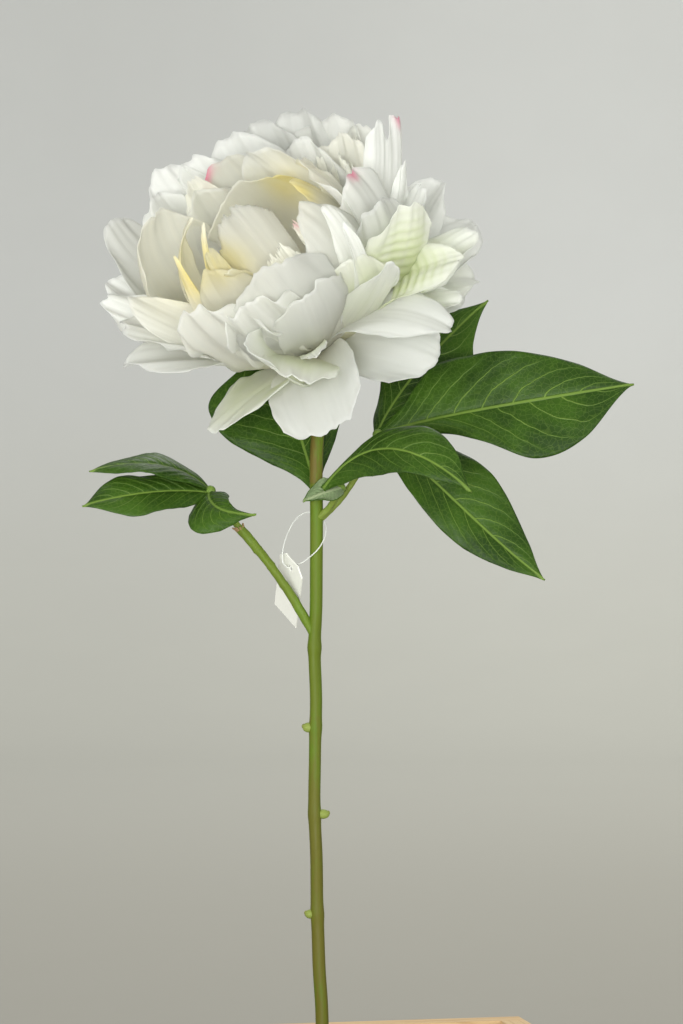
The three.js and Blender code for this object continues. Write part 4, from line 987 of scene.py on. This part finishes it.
def soil_height(x, y, half):
    rolling = 0.6 * np.sin(0.11 * x + 1) * np.cos(0.09 * y) + 0.4 * np.sin(0.23 * x - 0.19 * y)
    return SOIL_TOP + SOIL_RELIEF * (rolling - 0.5 * np.maximum(np.abs(x), np.abs(y)) / half)


def soil():
    low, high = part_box("soil")
    half = (high.x - low.x) / 2 / MM
    bottom = low.z / MM
    line = np.linspace(-half, half, SOIL_CELLS + 1)
    x, y = np.meshgrid(line, line, indexing="ij")
    rough = sum(a * np.sin(f * x + p) * np.sin(g * y + q) for a, f, p, g, q in SOIL_WAVES)
    top = soil_height(x, y, half) + rough * 0.6 - 0.5 + rng.normal(0, 0.18, x.shape)
    grid = np.stack([x, y, top], -1).reshape(-1, 3)
    faces, rim = sheet(*x.shape)
    foot = grid[rim] * (1, 1, 0) + (0, 0, bottom)
    under = len(grid) + np.arange(len(rim))
    next_rim, next_under = np.roll(rim, -1), np.roll(under, -1)
    walls = np.stack([rim, under, next_under, next_rim], -1)
    floor = fan(next_under, under, len(grid) + len(rim))
    shell = Shell()
    shell.add(np.concatenate([grid, foot, [[0, 0, bottom]]]), np.concatenate([faces, walls, floor]))
    for _ in range(CRUMBS):
        size = rng.uniform(0.7, 2.4) ** 1.2
        cx, cy = rng.uniform(-half + 3, half - 3, 2)
        crumb(shell, (cx, cy, soil_height(cx, cy, half) - 0.3 * size), size)
    settle(shell.piece("soil_crumbs", [soil_material()], lambda p: p * MM), "soil", "soil")


def crumb(shell, centre, size):
    """A small angular lump."""
    ball(shell, (0, 0, 0), (size, size * rng.uniform(0.7, 1), size * rng.uniform(0.5, 0.9)), 8, 6)
    points = shell.points[-1]
    points = points * (1 + rng.normal(0, 0.16, (len(points), 1)))
    turn = rng.uniform(0, 2 * math.pi)
    shell.points[-1] = rotate_flat(points, turn) + np.asarray(centre)


# Studio
BOWL_FLAT, BOWL_CURVE, BOWL_TOP = 3.8, 2.4, 2.5
BOWL_STEPS, BOWL_SIDES = 40, 96
# So that the planter's underside doesn't lie in the floor's own face
FLOOR_DROP = 0.0002
# Lamps round the flower and on the wall, in metres, watts and degrees
LAMPS = [
    dict(name="front", place=(0.3, -3.5, 1.05), size=1.8, power=6.1),
    dict(name="left", place=(-2.6, -1.9, 0.85), size=1.4, power=5.8),
    dict(name="right", place=(2.6, -2.0, 0.85), size=1.3, power=3.1),
    dict(name="low", place=(-0.5, -1.5, 0.28), size=0.5, power=4.8, spread=90),
    dict(name="back", place=(0.9, 2.2, 2.6), size=1.2, power=2.6),
    dict(name="backdrop_wash", place=(0.3, 1.4, 3.2), size=2.5, power=91, spread=180, target=(0, 4.5, 0.8)),
]
SKY_COLOUR, SKY_STRENGTH = (1, 1, 0.97, 1), 0.49


def backdrop():
    """A pale floor that sweeps up all round into a wall."""
    arc = np.linspace(0, math.pi / 2, BOWL_STEPS)
    flat = [0, 1, 2, 3]
    edge = BOWL_FLAT + BOWL_CURVE
    radius = np.concatenate([flat, BOWL_FLAT + BOWL_CURVE * np.sin(arc), [edge]])[:, None]
    rise = BOWL_CURVE * (1 - np.cos(arc))
    height = np.concatenate([np.zeros(len(flat)), rise, [BOWL_TOP]])[:, None] - FLOOR_DROP
    angle = circle(BOWL_SIDES)
    points = np.stack([radius * np.cos(angle), radius * np.sin(angle), height * np.ones(BOWL_SIDES)], -1)
    shell = Shell()
    shell.add(points, sleeve(len(points), BOWL_SIDES)[0])
    shell.piece("backdrop", [backdrop_material()], lambda p: p)


def aim(thing, target):
    thing.rotation_euler = (Vector(target) - thing.location).to_track_quat("-Z", "Y").to_euler()


def area_light(name, place, size, power, target, spread=70):
    lamp = bpy.data.lights.new(name, "AREA")
    lamp.size = size
    lamp.energy = power
    lamp.spread = math.radians(spread)
    made = placed(name, lamp)
    made.location = place
    aim(made, target)
    made.visible_camera = False


def studio():
    world = bpy.data.worlds.new("studio")
    bpy.context.scene.world = world
    world.use_nodes = True
    sky = world.node_tree.nodes["Background"]
    sky.inputs["Color"].default_value = SKY_COLOUR
    sky.inputs["Strength"].default_value = SKY_STRENGTH
    bloom = turn_plant(RECEPTACLE + BLOOM_AXIS * 40)
    for lamp in LAMPS:
        area_light(**{"target": bloom, **lamp})
    bpy.context.scene.view_settings.view_transform = "Standard"


def camera():
    lens = bpy.data.cameras.new("photo_view")
    lens.sensor_width = SENSOR
    lens.lens = SENSOR * CAMERA_DISTANCE / VIEW_HEIGHT
    made = placed("photo_view", lens)
    target = np.asarray(CAMERA_TARGET)
    made.location = turn_plant(target - (0, CAMERA_DISTANCE, 0))
    aim(made, turn_plant(target))
    bpy.context.scene.camera = made


camera()
studio()
backdrop()
planter()
soil()
stem()
calyx()
leaves()
petals()
loop()
dress("tag_card", plain_material("card_white", CARD_TONES, (700, 4.0, 0.6), 0.6, (0.1, 0.0002), 0.3))
